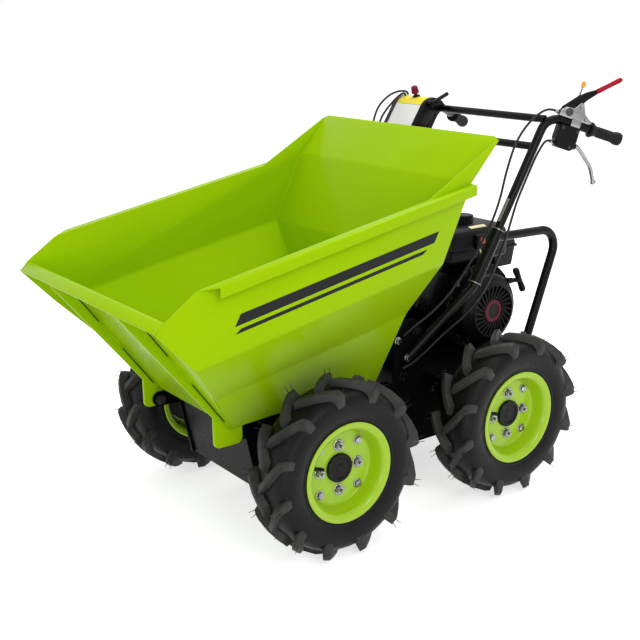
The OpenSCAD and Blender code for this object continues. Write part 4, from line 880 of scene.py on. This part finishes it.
def add_intake():
    """Air filter with its band, ribs and clip, and the carburettor."""
    shell = [(-765.6, 486), (-765.6, 562), (-836, 572), (-847, 542), (-834, 482), (-771, 482)]
    case = Shape().prism(side_view(shell, -92), Y, 118).bevel(9, 4, 35)
    band = [(-763.6, 528), (-763.6, 535), (-850.4, 540), (-850.4, 533)]
    case.merge(Shape().prism(side_view(band, -95), Y, 124).bevel(1.6, 2, 35))
    for k in range(5):
        case.prism(side_view([(-796, 565), (-835, 572.5), (-848.4, 544), (-843, 541)], -76 + k * 21), Y, 4)
    clip = [(-845, 548), (-856, 543), (-854.6, 528), (-849, 521), (-843, 524)]
    case.merge(Shape().prism(side_view(clip, -43), Y, 20).bevel(1.5, 2, 35))
    piece("air_filter_case", case, [PLASTIC], "air_filter", sharp=40)

    carb = Shape().box((-765.2, -64, 474), (-715.4, -26, 512)).bevel(5, 3, 35)
    carb.lathe([(0, -26), (15, -26), (17, -22), (17, 0), (12, 3), (0, 3)], P(-742, -45, 474), Z, 32)
    carb.nut(P(-742, -45, 446), -Z, 6, 5)
    for y in (-62, -28):
        carb.bolt(P(-716, y, 493), X, 5.5)
    carb.tube([P(-756, -24, 500), P(-756, -6, 500), P(-762, 6, 506), P(-772, 14, 516)], [3, 3, 3, 5], 12)
    piece("carburettor_cast", carb, [ALUMINIUM], "carburettor")


def add_muffler():
    """Muffler with its seam and pipes, and the slatted guard over it."""
    box = Shape().box((-522, -110, 556), (-422, -22, 620)).bevel(14, 5, 35)
    box.merge(Shape().box((-525, -113, 585), (-419, -19, 590)).bevel(1.5, 2, 35))
    box.tube([P(-494, -66, 541), P(-494, -66, 560)], 13, 28)
    box.tube([P(-430, -66, 600), P(-412, -66, 600), P(-406, -66, 598)], [11, 11, 10.5], 24)
    piece("muffler_box", box, [SOOT], "muffler")
    guard = Shape()
    for k in range(9):
        x = -516 + k * 11.5
        guard.box((x - 3, -112, 622.5), (x + 3, -20, 624.3))
    for y in (-112, -26):
        guard.box((-524, y, 621.5), (-420, y + 6, 623.6))
    for y in (-104, -28):
        for x in (-512, -432):
            guard.bolt(P(x, y, 623), Z, 5)
    detail("muffler_guard", guard, [BLACK])


def add_engine_details():
    """Head bolts, mounting bolts, spark plug, oil filler and belt guard."""
    def on_head(along, y, above):
        return P(CRANK_X, y, CRANK_Z) + (HEAD_ALONG * along + HEAD_ABOVE * above) * MM

    bits = Shape()
    for along, rows, above, r in ((230, (-76, -8), 34, 6), (202, (-90, 8), 48, 6.5)):
        for y in rows:
            for way in (-1, 1):
                bits.bolt(on_head(along, y, way * above), HEAD_ALONG, r)
    for x in (-731, -549):
        for y in (-84, -4):
            bits.bolt(P(x, y, 314), Z, 8)
    bits.nut(P(CRANK_X - 84, -44, 345), -X, 10, 8)
    bits.bolt(P(CRANK_X + 84, -44, 330), X, 8)
    plug, plug_way = on_head(196, -98, 0), Vector((0.35, -0.9, 0.2)).normalized()
    bits.nut(plug, plug_way, 11, 10)
    detail("engine_fasteners", bits, [ZINC])

    boot = Shape().tube([plug + plug_way * s * MM for s in (8, 12, 34, 44, 48)], [7, 8.6, 8.2, 6.8, 4], 18)
    boot.lathe([(0, 0), (16, 0), (16, 6), (13, 10), (13, 16), (0, 16)], P(CRANK_X - 60, -104, 352), -Y, 28)
    detail("plug_boot", boot, [PLASTIC])

    # the guard's two straight edges leave the drum's and the pulley's circles at these degrees
    upper, lower, deck = 62.75, 251.65, DECK_Z + 0.3
    drum = arc(CRANK_X, CRANK_Z, DRUM_R, upper, lower, 24)
    pulley = arc(PULLEY_X, PULLEY_Z, PULLEY_R, -36.4, upper, 12)
    low = arc(PULLEY_X, PULLEY_Z, PULLEY_R, lower, lower, 1)[0]
    share = (drum[-1][1] - deck) / (drum[-1][1] - low[1])
    on_deck = (drum[-1][0] + (low[0] - drum[-1][0]) * share, deck)
    belt = Shape().prism(side_view(drum + [on_deck] + pulley, BELT_Y), Y, BELT_W).bevel(5, 3, 50)
    for x, z in ((CRANK_X - 40, 436), (CRANK_X + 92, 410), (CRANK_X + 205, 346)):
        belt.bolt(P(x, BELT_Y, z), -Y, 7, 1)
    piece("belt_cover", belt, [BLACK, ZINC], "belt_guard")


add_starter()
add_fan_shroud()
add_pull()
add_tank()
add_intake()
add_muffler()
add_engine_details()


# Handlebar and controls

BAR_KNEE, BAR_TOP, BAR_END = P(-512, 200, 505), P(-754.5, 200, 909), P(-930.5, 282, 843)
BAR_R, SLEEVE_BORE = 11, 11.2
UPRIGHT = (BAR_TOP - BAR_KNEE).normalized()
GRIP_DIR = (BAR_END - BAR_TOP).normalized()
GRIP_SIDE = Z.cross(GRIP_DIR).normalized()
GRIP_UP = GRIP_DIR.cross(GRIP_SIDE)


def at_grip(side, up, along):
    """Point by the left grip: sideways, up and along the bar from its corner."""
    return BAR_TOP + (GRIP_SIDE * side + GRIP_UP * up + GRIP_DIR * along) * MM


def grip_outline(points, side):
    """Points of an outline beside the left bar, given as places along it and up."""
    return [at_grip(side, up, along) for along, up in points]


def add_grips():
    """Ribbed grips with a flange at the inner end."""
    profile = [(0, 0.4), (SLEEVE_BORE, 0.4), (SLEEVE_BORE, -84), (18.7, -84), (19.5, -83.2), (19.5, -79.8),
               (18.6, -78.6), (15.4, -73.4), (13.6, -69), (13, -64)]
    for k in range(11):
        h = -61 + k * 3.9
        profile += [(13.2, h), (13.9, h + 0.6), (13.9, h + 2.3), (13.2, h + 2.9)]
    profile += [(14.2, -16.5), (15.6, -12.6), (16.6, -9), (16.8, -6), (16.8, 0), (16.3, 2.8),
                (15, 5), (0, 5)]
    grips = Shape().lathe(profile, BAR_END, GRIP_DIR, 40).both_sides()
    piece("grips_ribbed", grips, [GRIP], "grips", sharp=50)


def add_sleeves():
    """Sleeves round the uprights' feet with a zinc ring at each end, and a blank label."""
    sleeves = Shape().lathe([(SLEEVE_BORE, 12), (14.9, 12), (15.5, 12.7), (15.5, 155.3), (14.9, 156),
                             (SLEEVE_BORE, 156)], BAR_KNEE, UPRIGHT, 40)
    bore = SLEEVE_BORE + 0.05
    for low in (10.5, 155):
        sleeves.lathe([(bore, low), (15.8, low), (16.3, low + 0.5), (16.3, low + 2), (15.8, low + 2.5),
                       (bore, low + 2.5)], BAR_KNEE, UPRIGHT, 40, 1)
    piece("clamp_sleeves", sleeves.both_sides(), [BLACK, ZINC], "handle_brackets")

    # pale label wrapped round the front of the left upright
    ahead = Y.cross(UPRIGHT).normalized()
    turns = [radians(d) for d in range(-44, 29, 8)]
    around = [(BAR_R + 0.15, a) for a in turns] + [(BAR_R + 0.4, a) for a in reversed(turns)]
    rings = [[BAR_KNEE + UPRIGHT * (s * MM) + turned(a, ahead, Y) * (r * MM) for r, a in around]
             for s in (176, 196, 216, 238)]
    detail("upright_label", Shape().loft(rings), [STICKER_GREY])


CLAMP = [(26, 10), (116, 10), (117, 18), (108, 22), (93, 31), (80, 55), (72, 55), (60, 37), (38, 35),
         (27, 24)]
CLAMP_SIDE, CLAMP_T, CASE_SIDE = 9, 3, 17
LEVER_PIVOT, LEVER_BEND, LEVER_TIP = (49, 24.5), (104, 92), (153.5, 138)


def add_clutch_lever():
    """Flat forged arm with its dipped grip, and the clamp that holds it on the bar."""
    run = Vector((LEVER_TIP[0] - LEVER_BEND[0], LEVER_TIP[1] - LEVER_BEND[1])).normalized()
    end = Vector((-run.y, run.x)) * 6
    outline = [(28, 31), (38, 17), (58, 16), (72, 38), (87, 64),
               (LEVER_BEND[0] - end.x, LEVER_BEND[1] - end.y),
               (LEVER_BEND[0] + end.x, LEVER_BEND[1] + end.y), (80, 84), (61, 69)]
    arm = Shape().prism(grip_outline(outline, -3.5), GRIP_SIDE, 7).bevel(2.4, 3, 20)
    piece("clutch_arm", arm, [BLACK], "clutch_lever")
    bend, tip = grip_outline([LEVER_BEND, LEVER_TIP], 0)
    n = (tip - bend).length / MM
    grip = Shape().lathe([(0, 0.3), (5.4, 0.3), (6.5, 2.2), (6.6, 10), (6.1, n * 0.5), (6.4, n - 5),
                          (6.3, n), (5, n + 4.2), (2.6, n + 6), (0, n + 6.4)], bend, tip - bend, 28)
    piece("clutch_grip_dipped", grip, [RED], "clutch_grip")

    clamp = Shape()
    for side in (-CLAMP_SIDE, CLAMP_SIDE - CLAMP_T):
        clamp.prism(grip_outline(CLAMP, side), GRIP_SIDE, CLAMP_T)
    clamp.prism(grip_outline([(26, 11.4), (116, 11.4), (116, 14), (26, 14)], -8.5), GRIP_SIDE, 17)
    clamp.bevel(0.7, 2, 40)
    collar = [(SLEEVE_BORE, 62), (14.6, 62), (15, 62.5), (15, 87.5), (14.6, 88), (SLEEVE_BORE, 88)]
    clamp.lathe(collar, BAR_TOP, GRIP_DIR, 40)
    near, far = (grip_outline([LEVER_PIVOT], side)[0] for side in (-CLAMP_SIDE, CLAMP_SIDE))
    clamp.lathe([(0, 0), (10, 0), (10, 1.6), (8.6, 2.8), (4, 3.2), (0, 3.2)], near, -GRIP_SIDE, 28, 1)
    clamp.bolt(far, GRIP_SIDE, 7.5)
    for at in grip_outline([(76, 46), (100, 18.5)], -CLAMP_SIDE):
        clamp.bolt(at, -GRIP_SIDE, 4.6, washer=False)
    piece("clamp_plates", clamp, [ZINC, PIN], "lever_clamp")


def add_throttle():
    """Throttle wire with its drop-shaped knob."""
    foot, top = at_grip(12, 34, 68), at_grip(12, 90, 69.5)
    wire = Shape().tube([foot.lerp(top, s) for s in (0, 0.3, 0.33, 1)], [3.2, 3.0, 2.4, 2.4], 14)
    wire.lathe([(0, 0), (6, 0), (6, 4.6), (4.6, 6), (0, 6)], at_grip(9.2, 34, 68), GRIP_SIDE, 24)
    piece("throttle_wire", wire, [ZINC], "throttle_lever")
    knob = Shape().lathe([(0, 0.3), (3, 0.3), (3.6, 1.6), (4.6, 4.4), (5.8, 8), (6.2, 10.6), (6, 13.4),
                          (4.8, 16), (2.6, 17.8), (0, 18.4)], top, top - foot, 28)
    piece("throttle_drop", knob, [YELLOW], "throttle_knob")


def add_brake_lever():
    """Switch box under the bar, and the brake lever's blade with the ball at its end."""
    outline = [(36, -8), (91, -8), (94, -56), (83, -67), (46, -67), (41, -62), (41, -54), (37, -48)]
    box = Shape().prism(grip_outline(outline, -CASE_SIDE), GRIP_SIDE, 2 * CASE_SIDE).bevel(4, 4, 30)
    seam = [(37, -36), (93.4, -36), (93.6, -38), (37, -38)]
    box.prism(grip_outline(seam, -CASE_SIDE - 0.4), GRIP_SIDE, 2 * CASE_SIDE + 0.8)
    for along, up in ((44, -16), (85, -16), (78, -58)):
        for hand in (1, -1):
            at = at_grip(hand * CASE_SIDE, up, along)
            box.lathe([(0, 0), (3.6, 0), (3.6, 0.8), (2.6, 1.5), (0, 1.5)], at, GRIP_SIDE * hand, 20, 1)
    box.lathe([(0, -9), (8, -9), (8, 9), (0, 9)], at_grip(0, -52, 92), GRIP_SIDE, 28)
    piece("switch_case", box, [PLASTIC, PIN], "switch_box")

    path = [at_grip(0, -50, s) for s in (94.2, 103)]
    path += [P(*p) for p in ((-846, 236, 812), (-864, 236, 793), (-884, 236.5, 769), (-894.6, 238, 738),
                             (-899.9, 238.5, 724.7))]
    path = smooth_path(path)
    ball_at, ball_reach, ball_r, end_r = 0.917, 0.084, 7.4, 1.5

    def squared(value):
        return copysign(abs(value) ** 0.7, value)

    rings = []
    for i, p in enumerate(path):
        d = direction(path, i)
        wide = Vector((0.2, 1, 0.1))
        wide = (wide - d * wide.dot(d)).normalized()
        share = i / (len(path) - 1)
        w, h = 7.2 - 2.2 * share, 4.6 - 0.6 * share
        ball = 1 - ((share - ball_at) / ball_reach) ** 2
        if ball > 0:
            w, h = (max(size if share < ball_at else end_r, ball_r * sqrt(ball)) for size in (w, h))
        rings.append([p + wide * (w * MM * squared(cos(a))) + d.cross(wide) * (h * MM * squared(sin(a)))
                      for a in steps_round(20)])
    piece("brake_blade", Shape().loft(rings), [ALUMINIUM], "brake_lever", sharp=50)


CONSOLE_Y, CONSOLE_MID, CONSOLE_BEND, CONSOLE_FOOT, CONSOLE_T = (-304, -174), (-716, 884), 47, 842, 3
CONSOLE_SLOPE, CONSOLE_END = 57.4, 155
CONSOLE_START = 90 - CONSOLE_SLOPE


def hood_point(degrees, inset=0.0):
    """Point on the console's bent top, seen from the side."""
    a = radians(degrees)
    r = CONSOLE_BEND - inset
    return (CONSOLE_MID[0] + r * cos(a), CONSOLE_MID[1] + r * sin(a))


def hood_face(z, inset=0.0):
    """Point on the console's sloped front, seen from the side."""
    x, top = hood_point(CONSOLE_START, inset)
    return (x + (top - z) / tan(radians(CONSOLE_SLOPE)), z)


def hood_line(heights, bends, inset):
    """Points up the console's front and over its bend, inset from its outside."""
    return [hood_face(z, inset) for z in heights] + [hood_point(a, inset) for a in bends]


def add_console():
    """The console's bent sheet with its cheeks and blank stickers."""
    low, high = CONSOLE_Y
    feet = [CONSOLE_FOOT]
    turns = [CONSOLE_START + (CONSOLE_END - CONSOLE_START) * k / 24 for k in range(25)]
    ring = hood_line(feet, turns, 0) + hood_line(feet, turns, CONSOLE_T)[::-1]
    cheek = hood_line(feet, turns, CONSOLE_T + 0.02) + [CONSOLE_MID, hood_face(CONSOLE_FOOT, 36)]
    folded = Shape().loft([side_view(ring, y) for y in CONSOLE_Y])
    for y in (low, high - CONSOLE_T):
        folded.prism(side_view(cheek, y), Y, CONSOLE_T)
    piece("console_sheet", folded.bevel(0.9, 2, 50), [BLACK], "console")

    # white on the sloped front, yellow over the bend
    stickers = Shape()
    heights = [849 + k * (hood_point(CONSOLE_START)[1] - 849) / 3 for k in range(4)]
    white_bends = [CONSOLE_START + k * 2 for k in range(3)]
    yellow_bends = [CONSOLE_START + 5 + k * 7 for k in range(11)]
    for mat, heights, bends in ((0, heights, white_bends), (1, [], yellow_bends)):
        row = hood_line(heights, bends, -0.35) + hood_line(heights, bends, -0.05)[::-1]
        stickers.loft([side_view(row, y) for y in (low + 17, high - 14)], mat)
    detail("console_stickers", stickers, [STICKER_WHITE, STICKER_YELLOW])


def add_shift_levers():
    """The gear lever with its boot and knob, and the tip lever on the console's side."""
    foot, top = P(-716, -240, 906), P(-706, -240, 939)
    rods = Shape().tube([foot, top], 4, 16)
    rods.lathe([(0, 0), (15, 0), (15, 3.2), (13.4, 4.6), (13.8, 6), (11.6, 7.6), (11.8, 9), (9.2, 10.8),
                (9.2, 12), (6.6, 14), (0, 14)], P(-711, -240, 922), (0.1, 0, 1), 28, 1)
    rods.tube([P(-698, -166, 917), P(-724, -166, 927.2), P(-757, -166, 940)], [5.5, 5.3, 5.5], 18)
    rods.lathe([(0, 0), (9, 0), (9, 11.4), (7.6, 13), (0, 13)], P(-698, -173.8, 917), Y, 28)
    piece("shift_rods", rods, [BLACK, GRIP], "shift_levers")
    knob = Shape().lathe([(0, 0.2), (8.6, 0.2), (10.2, 1.6), (10.7, 4), (10.4, 9), (9.6, 14), (9, 18.4),
                          (8.2, 20.6), (6.4, 21.8), (0, 22)], top, top - foot, 32)
    piece("gear_knob_moulded", knob, [KNOB_RED], "gear_knob")


# routes of the cables, as in the part's source
CABLES = {
    "clutch_cable": [
        (-781.26, 212.47, 916.9), (-768, 208.5, 921.5), (-752, 206, 924), (-736, 204, 921.5),
        (-720, 201, 914), (-704, 198, 903), (-688, 195, 889), (-668, 192, 866), (-648, 190, 833),
        (-626, 189, 775), (-608, 189, 715), (-586, 186, 660), (-556, 180, 606), (-520, 176, 556),
        (-480, 174, 512), (-436, 172, 474), (-392, 169, 446), (-352, 163, 424), (-326, 155, 404)],
    "brake_cable": [
        (-771.4, 207.9, 840.7), (-758, 208, 846.5), (-746, 206.5, 846), (-736, 205, 838),
        (-727, 204, 826), (-712, 203.5, 805), (-680, 204, 752), (-650, 206, 702), (-624, 214, 660),
        (-600, 222, 622), (-566, 224, 560), (-532, 221, 500), (-486, 207, 444), (-434, 190, 402),
        (-385, 177, 362), (-350, 165, 334), (-326, 155, 322)],
    "shift_cable": [
        (-724, -292, 931.5), (-723, -292.2, 936), (-717, -292.6, 940.5), (-704, -293, 943),
        (-688, -293, 942.5), (-668, -292, 938.5), (-646, -290, 930), (-616, -288, 909),
        (-595, -284, 878), (-575, -272, 835), (-556, -255, 780), (-534, -234, 710), (-507, -211, 630),
        (-476, -191, 548), (-438, -178, 482), (-400, -169, 432), (-360, -162, 404), (-326, -155, 390)],
    "tip_cable": [
        (-706, -282, 930.5), (-704.5, -282.4, 935), (-697, -283, 937.2), (-682, -284, 930.5),
        (-656, -284, 912), (-631, -282, 891), (-611, -278, 868), (-590, -266, 830), (-568, -248, 776),
        (-545, -226, 706), (-516, -203, 630), (-486, -184, 552), (-450, -172, 490), (-412, -165, 456),
        (-368, -160, 432), (-326, -155, 416)],
}
FERRULES = {
    "brake_cable": [(3.1, 0), (4.4, 0), (4.8, 0.6), (4.8, 12), (4.2, 13), (3.1, 13)],
    "clutch_cable": [(3.1, 0), (4.2, 0), (4.5, 0.6), (4.5, 10), (4, 11), (3.1, 11)],
}


def add_cables():
    """The four control cables, and the ferrules at the starts of two."""
    for name, route in CABLES.items():
        path = smooth_path([P(*p) for p in route], 5)
        cable = piece(name, Shape().tube(path, 3, 12), [CABLE], "control_cables", sharp=60)
    ends = Shape()
    for name, profile in FERRULES.items():
        start, after = (P(*p) for p in CABLES[name][:2])
        ends.lathe(profile, start.lerp(after, 0.05), after - start, 20)
    detail("cable_ferrules", ends, [ALUMINIUM])


add_grips()
add_sleeves()
add_clutch_lever()
add_throttle()
add_brake_lever()
add_console()
add_shift_levers()
add_cables()


# Camera, floor and light

PHOTO_WIDTH, PHOTO_FOCUS, SENSOR = 640, 1082.1, 36  # pixels, pixels and millimetres
CAMERA_AT = P(1338.6, 2050.6, 1192.1)
CAMERA_TURN = (-126.68, -16.51, -0.56)  # yaw, pitch and roll in degrees
FLOOR_SIZE, FLOOR_GLOW, SKY = 60, 0.64, 0.67
LAMPS = {  # place, target and size in metres, and watts
    "key": ((0.9, 4.4, 3.4), (0.1, 0, 0.4), (2.4, 2.4), 61),
    "low": ((2.9, 3.3, 0.7), (0.2, 0.1, 0.4), (2.0, 1.0), 24),
    "front": ((4.4, 0.2, 2.4), (0.2, 0, 0.5), (1.6, 2.2), 17),
    "top": ((-2.0, -0.5, 4.5), (0.1, 0, 0.4), (3, 3), 110),
    "far": ((0.58, -2.8, 3.65), (-0.2, 0.2, 0.84), (0.3, 1.1), 2.5),
}


def add_camera():
    """The camera that was fitted to the photograph."""
    yaw, pitch, roll = (radians(a) for a in CAMERA_TURN)
    ahead = turned(pitch, turned(yaw, X, Y), Z)
    right = ahead.cross(Z).normalized()
    up = right.cross(ahead)
    data = bpy.data.cameras.new("camera")
    data.sensor_fit = "HORIZONTAL"
    data.sensor_width = SENSOR
    data.lens = PHOTO_FOCUS / PHOTO_WIDTH * SENSOR
    data.clip_end = 200
    camera = link_object("camera", data)
    matrix = Matrix((turned(roll, right, up), turned(roll, up, -right), -ahead)).transposed().to_4x4()
    matrix.translation = CAMERA_AT
    camera.matrix_world = matrix
    bpy.context.scene.camera = camera


def add_lamps():
    """Rectangular lamps round the machine."""
    for name, (at, target, size, watts) in LAMPS.items():
        data = bpy.data.lights.new(name, "AREA")
        data.shape = "RECTANGLE"
        data.size, data.size_y = size
        data.energy = watts
        lamp = link_object(name, data)
        lamp.location = at
        lamp.rotation_euler = (Vector(target) - Vector(at)).to_track_quat("-Z", "Y").to_euler()


def seen_level(tree, low, high):
    """High for a ray from the camera, a reflection or a view through glass, low for light on the object."""
    path = tree.nodes.new("ShaderNodeLightPath")
    total = path.outputs["Is Camera Ray"]
    for name in ("Is Glossy Ray", "Is Transmission Ray"):
        either = tree.nodes.new("ShaderNodeMath")
        either.operation = "MAXIMUM"
        tree.links.new(total, either.inputs[0])
        tree.links.new(path.outputs[name], either.inputs[1])
        total = either.outputs["Value"]
    level = set_inputs(tree.nodes.new("ShaderNodeMapRange"), {"To Min": low, "To Max": high})
    tree.links.new(total, level.inputs["Value"])
    return level.outputs["Result"]


def add_floor():
    """Matt pale floor that keeps the shadows and looks white to the camera."""
    pale, tree, shader = new_material("pale_floor")
    set_inputs(shader, {"Base Color": (0.82, 0.82, 0.82, 1), "Roughness": 0.9, "Specular IOR Level": 0.1,
                        "Emission Color": (1, 1, 1, 1)})
    tree.links.new(seen_level(tree, 0, FLOOR_GLOW), shader.inputs["Emission Strength"])
    data = bpy.data.meshes.new("floor")
    corners = [(x * FLOOR_SIZE, y * FLOOR_SIZE, 0) for x, y in ((-1, -1), (1, -1), (1, 1), (-1, 1))]
    data.from_pydata(corners, [], [(0, 1, 2, 3)])
    data.materials.append(pale)
    floor = link_object("floor", data)


def add_sky():
    """White world to the camera, dimmer as a light."""
    world = bpy.data.worlds.new("studio")
    world.use_nodes = True
    tree = world.node_tree
    sky = set_inputs(tree.nodes["Background"], {"Color": (1, 1, 1, 1)})
    tree.links.new(seen_level(tree, SKY, 1), sky.inputs["Strength"])
    bpy.context.scene.world = world
    bpy.context.scene.view_settings.view_transform = "Standard"


add_camera()
add_floor()
add_sky()
add_lamps()
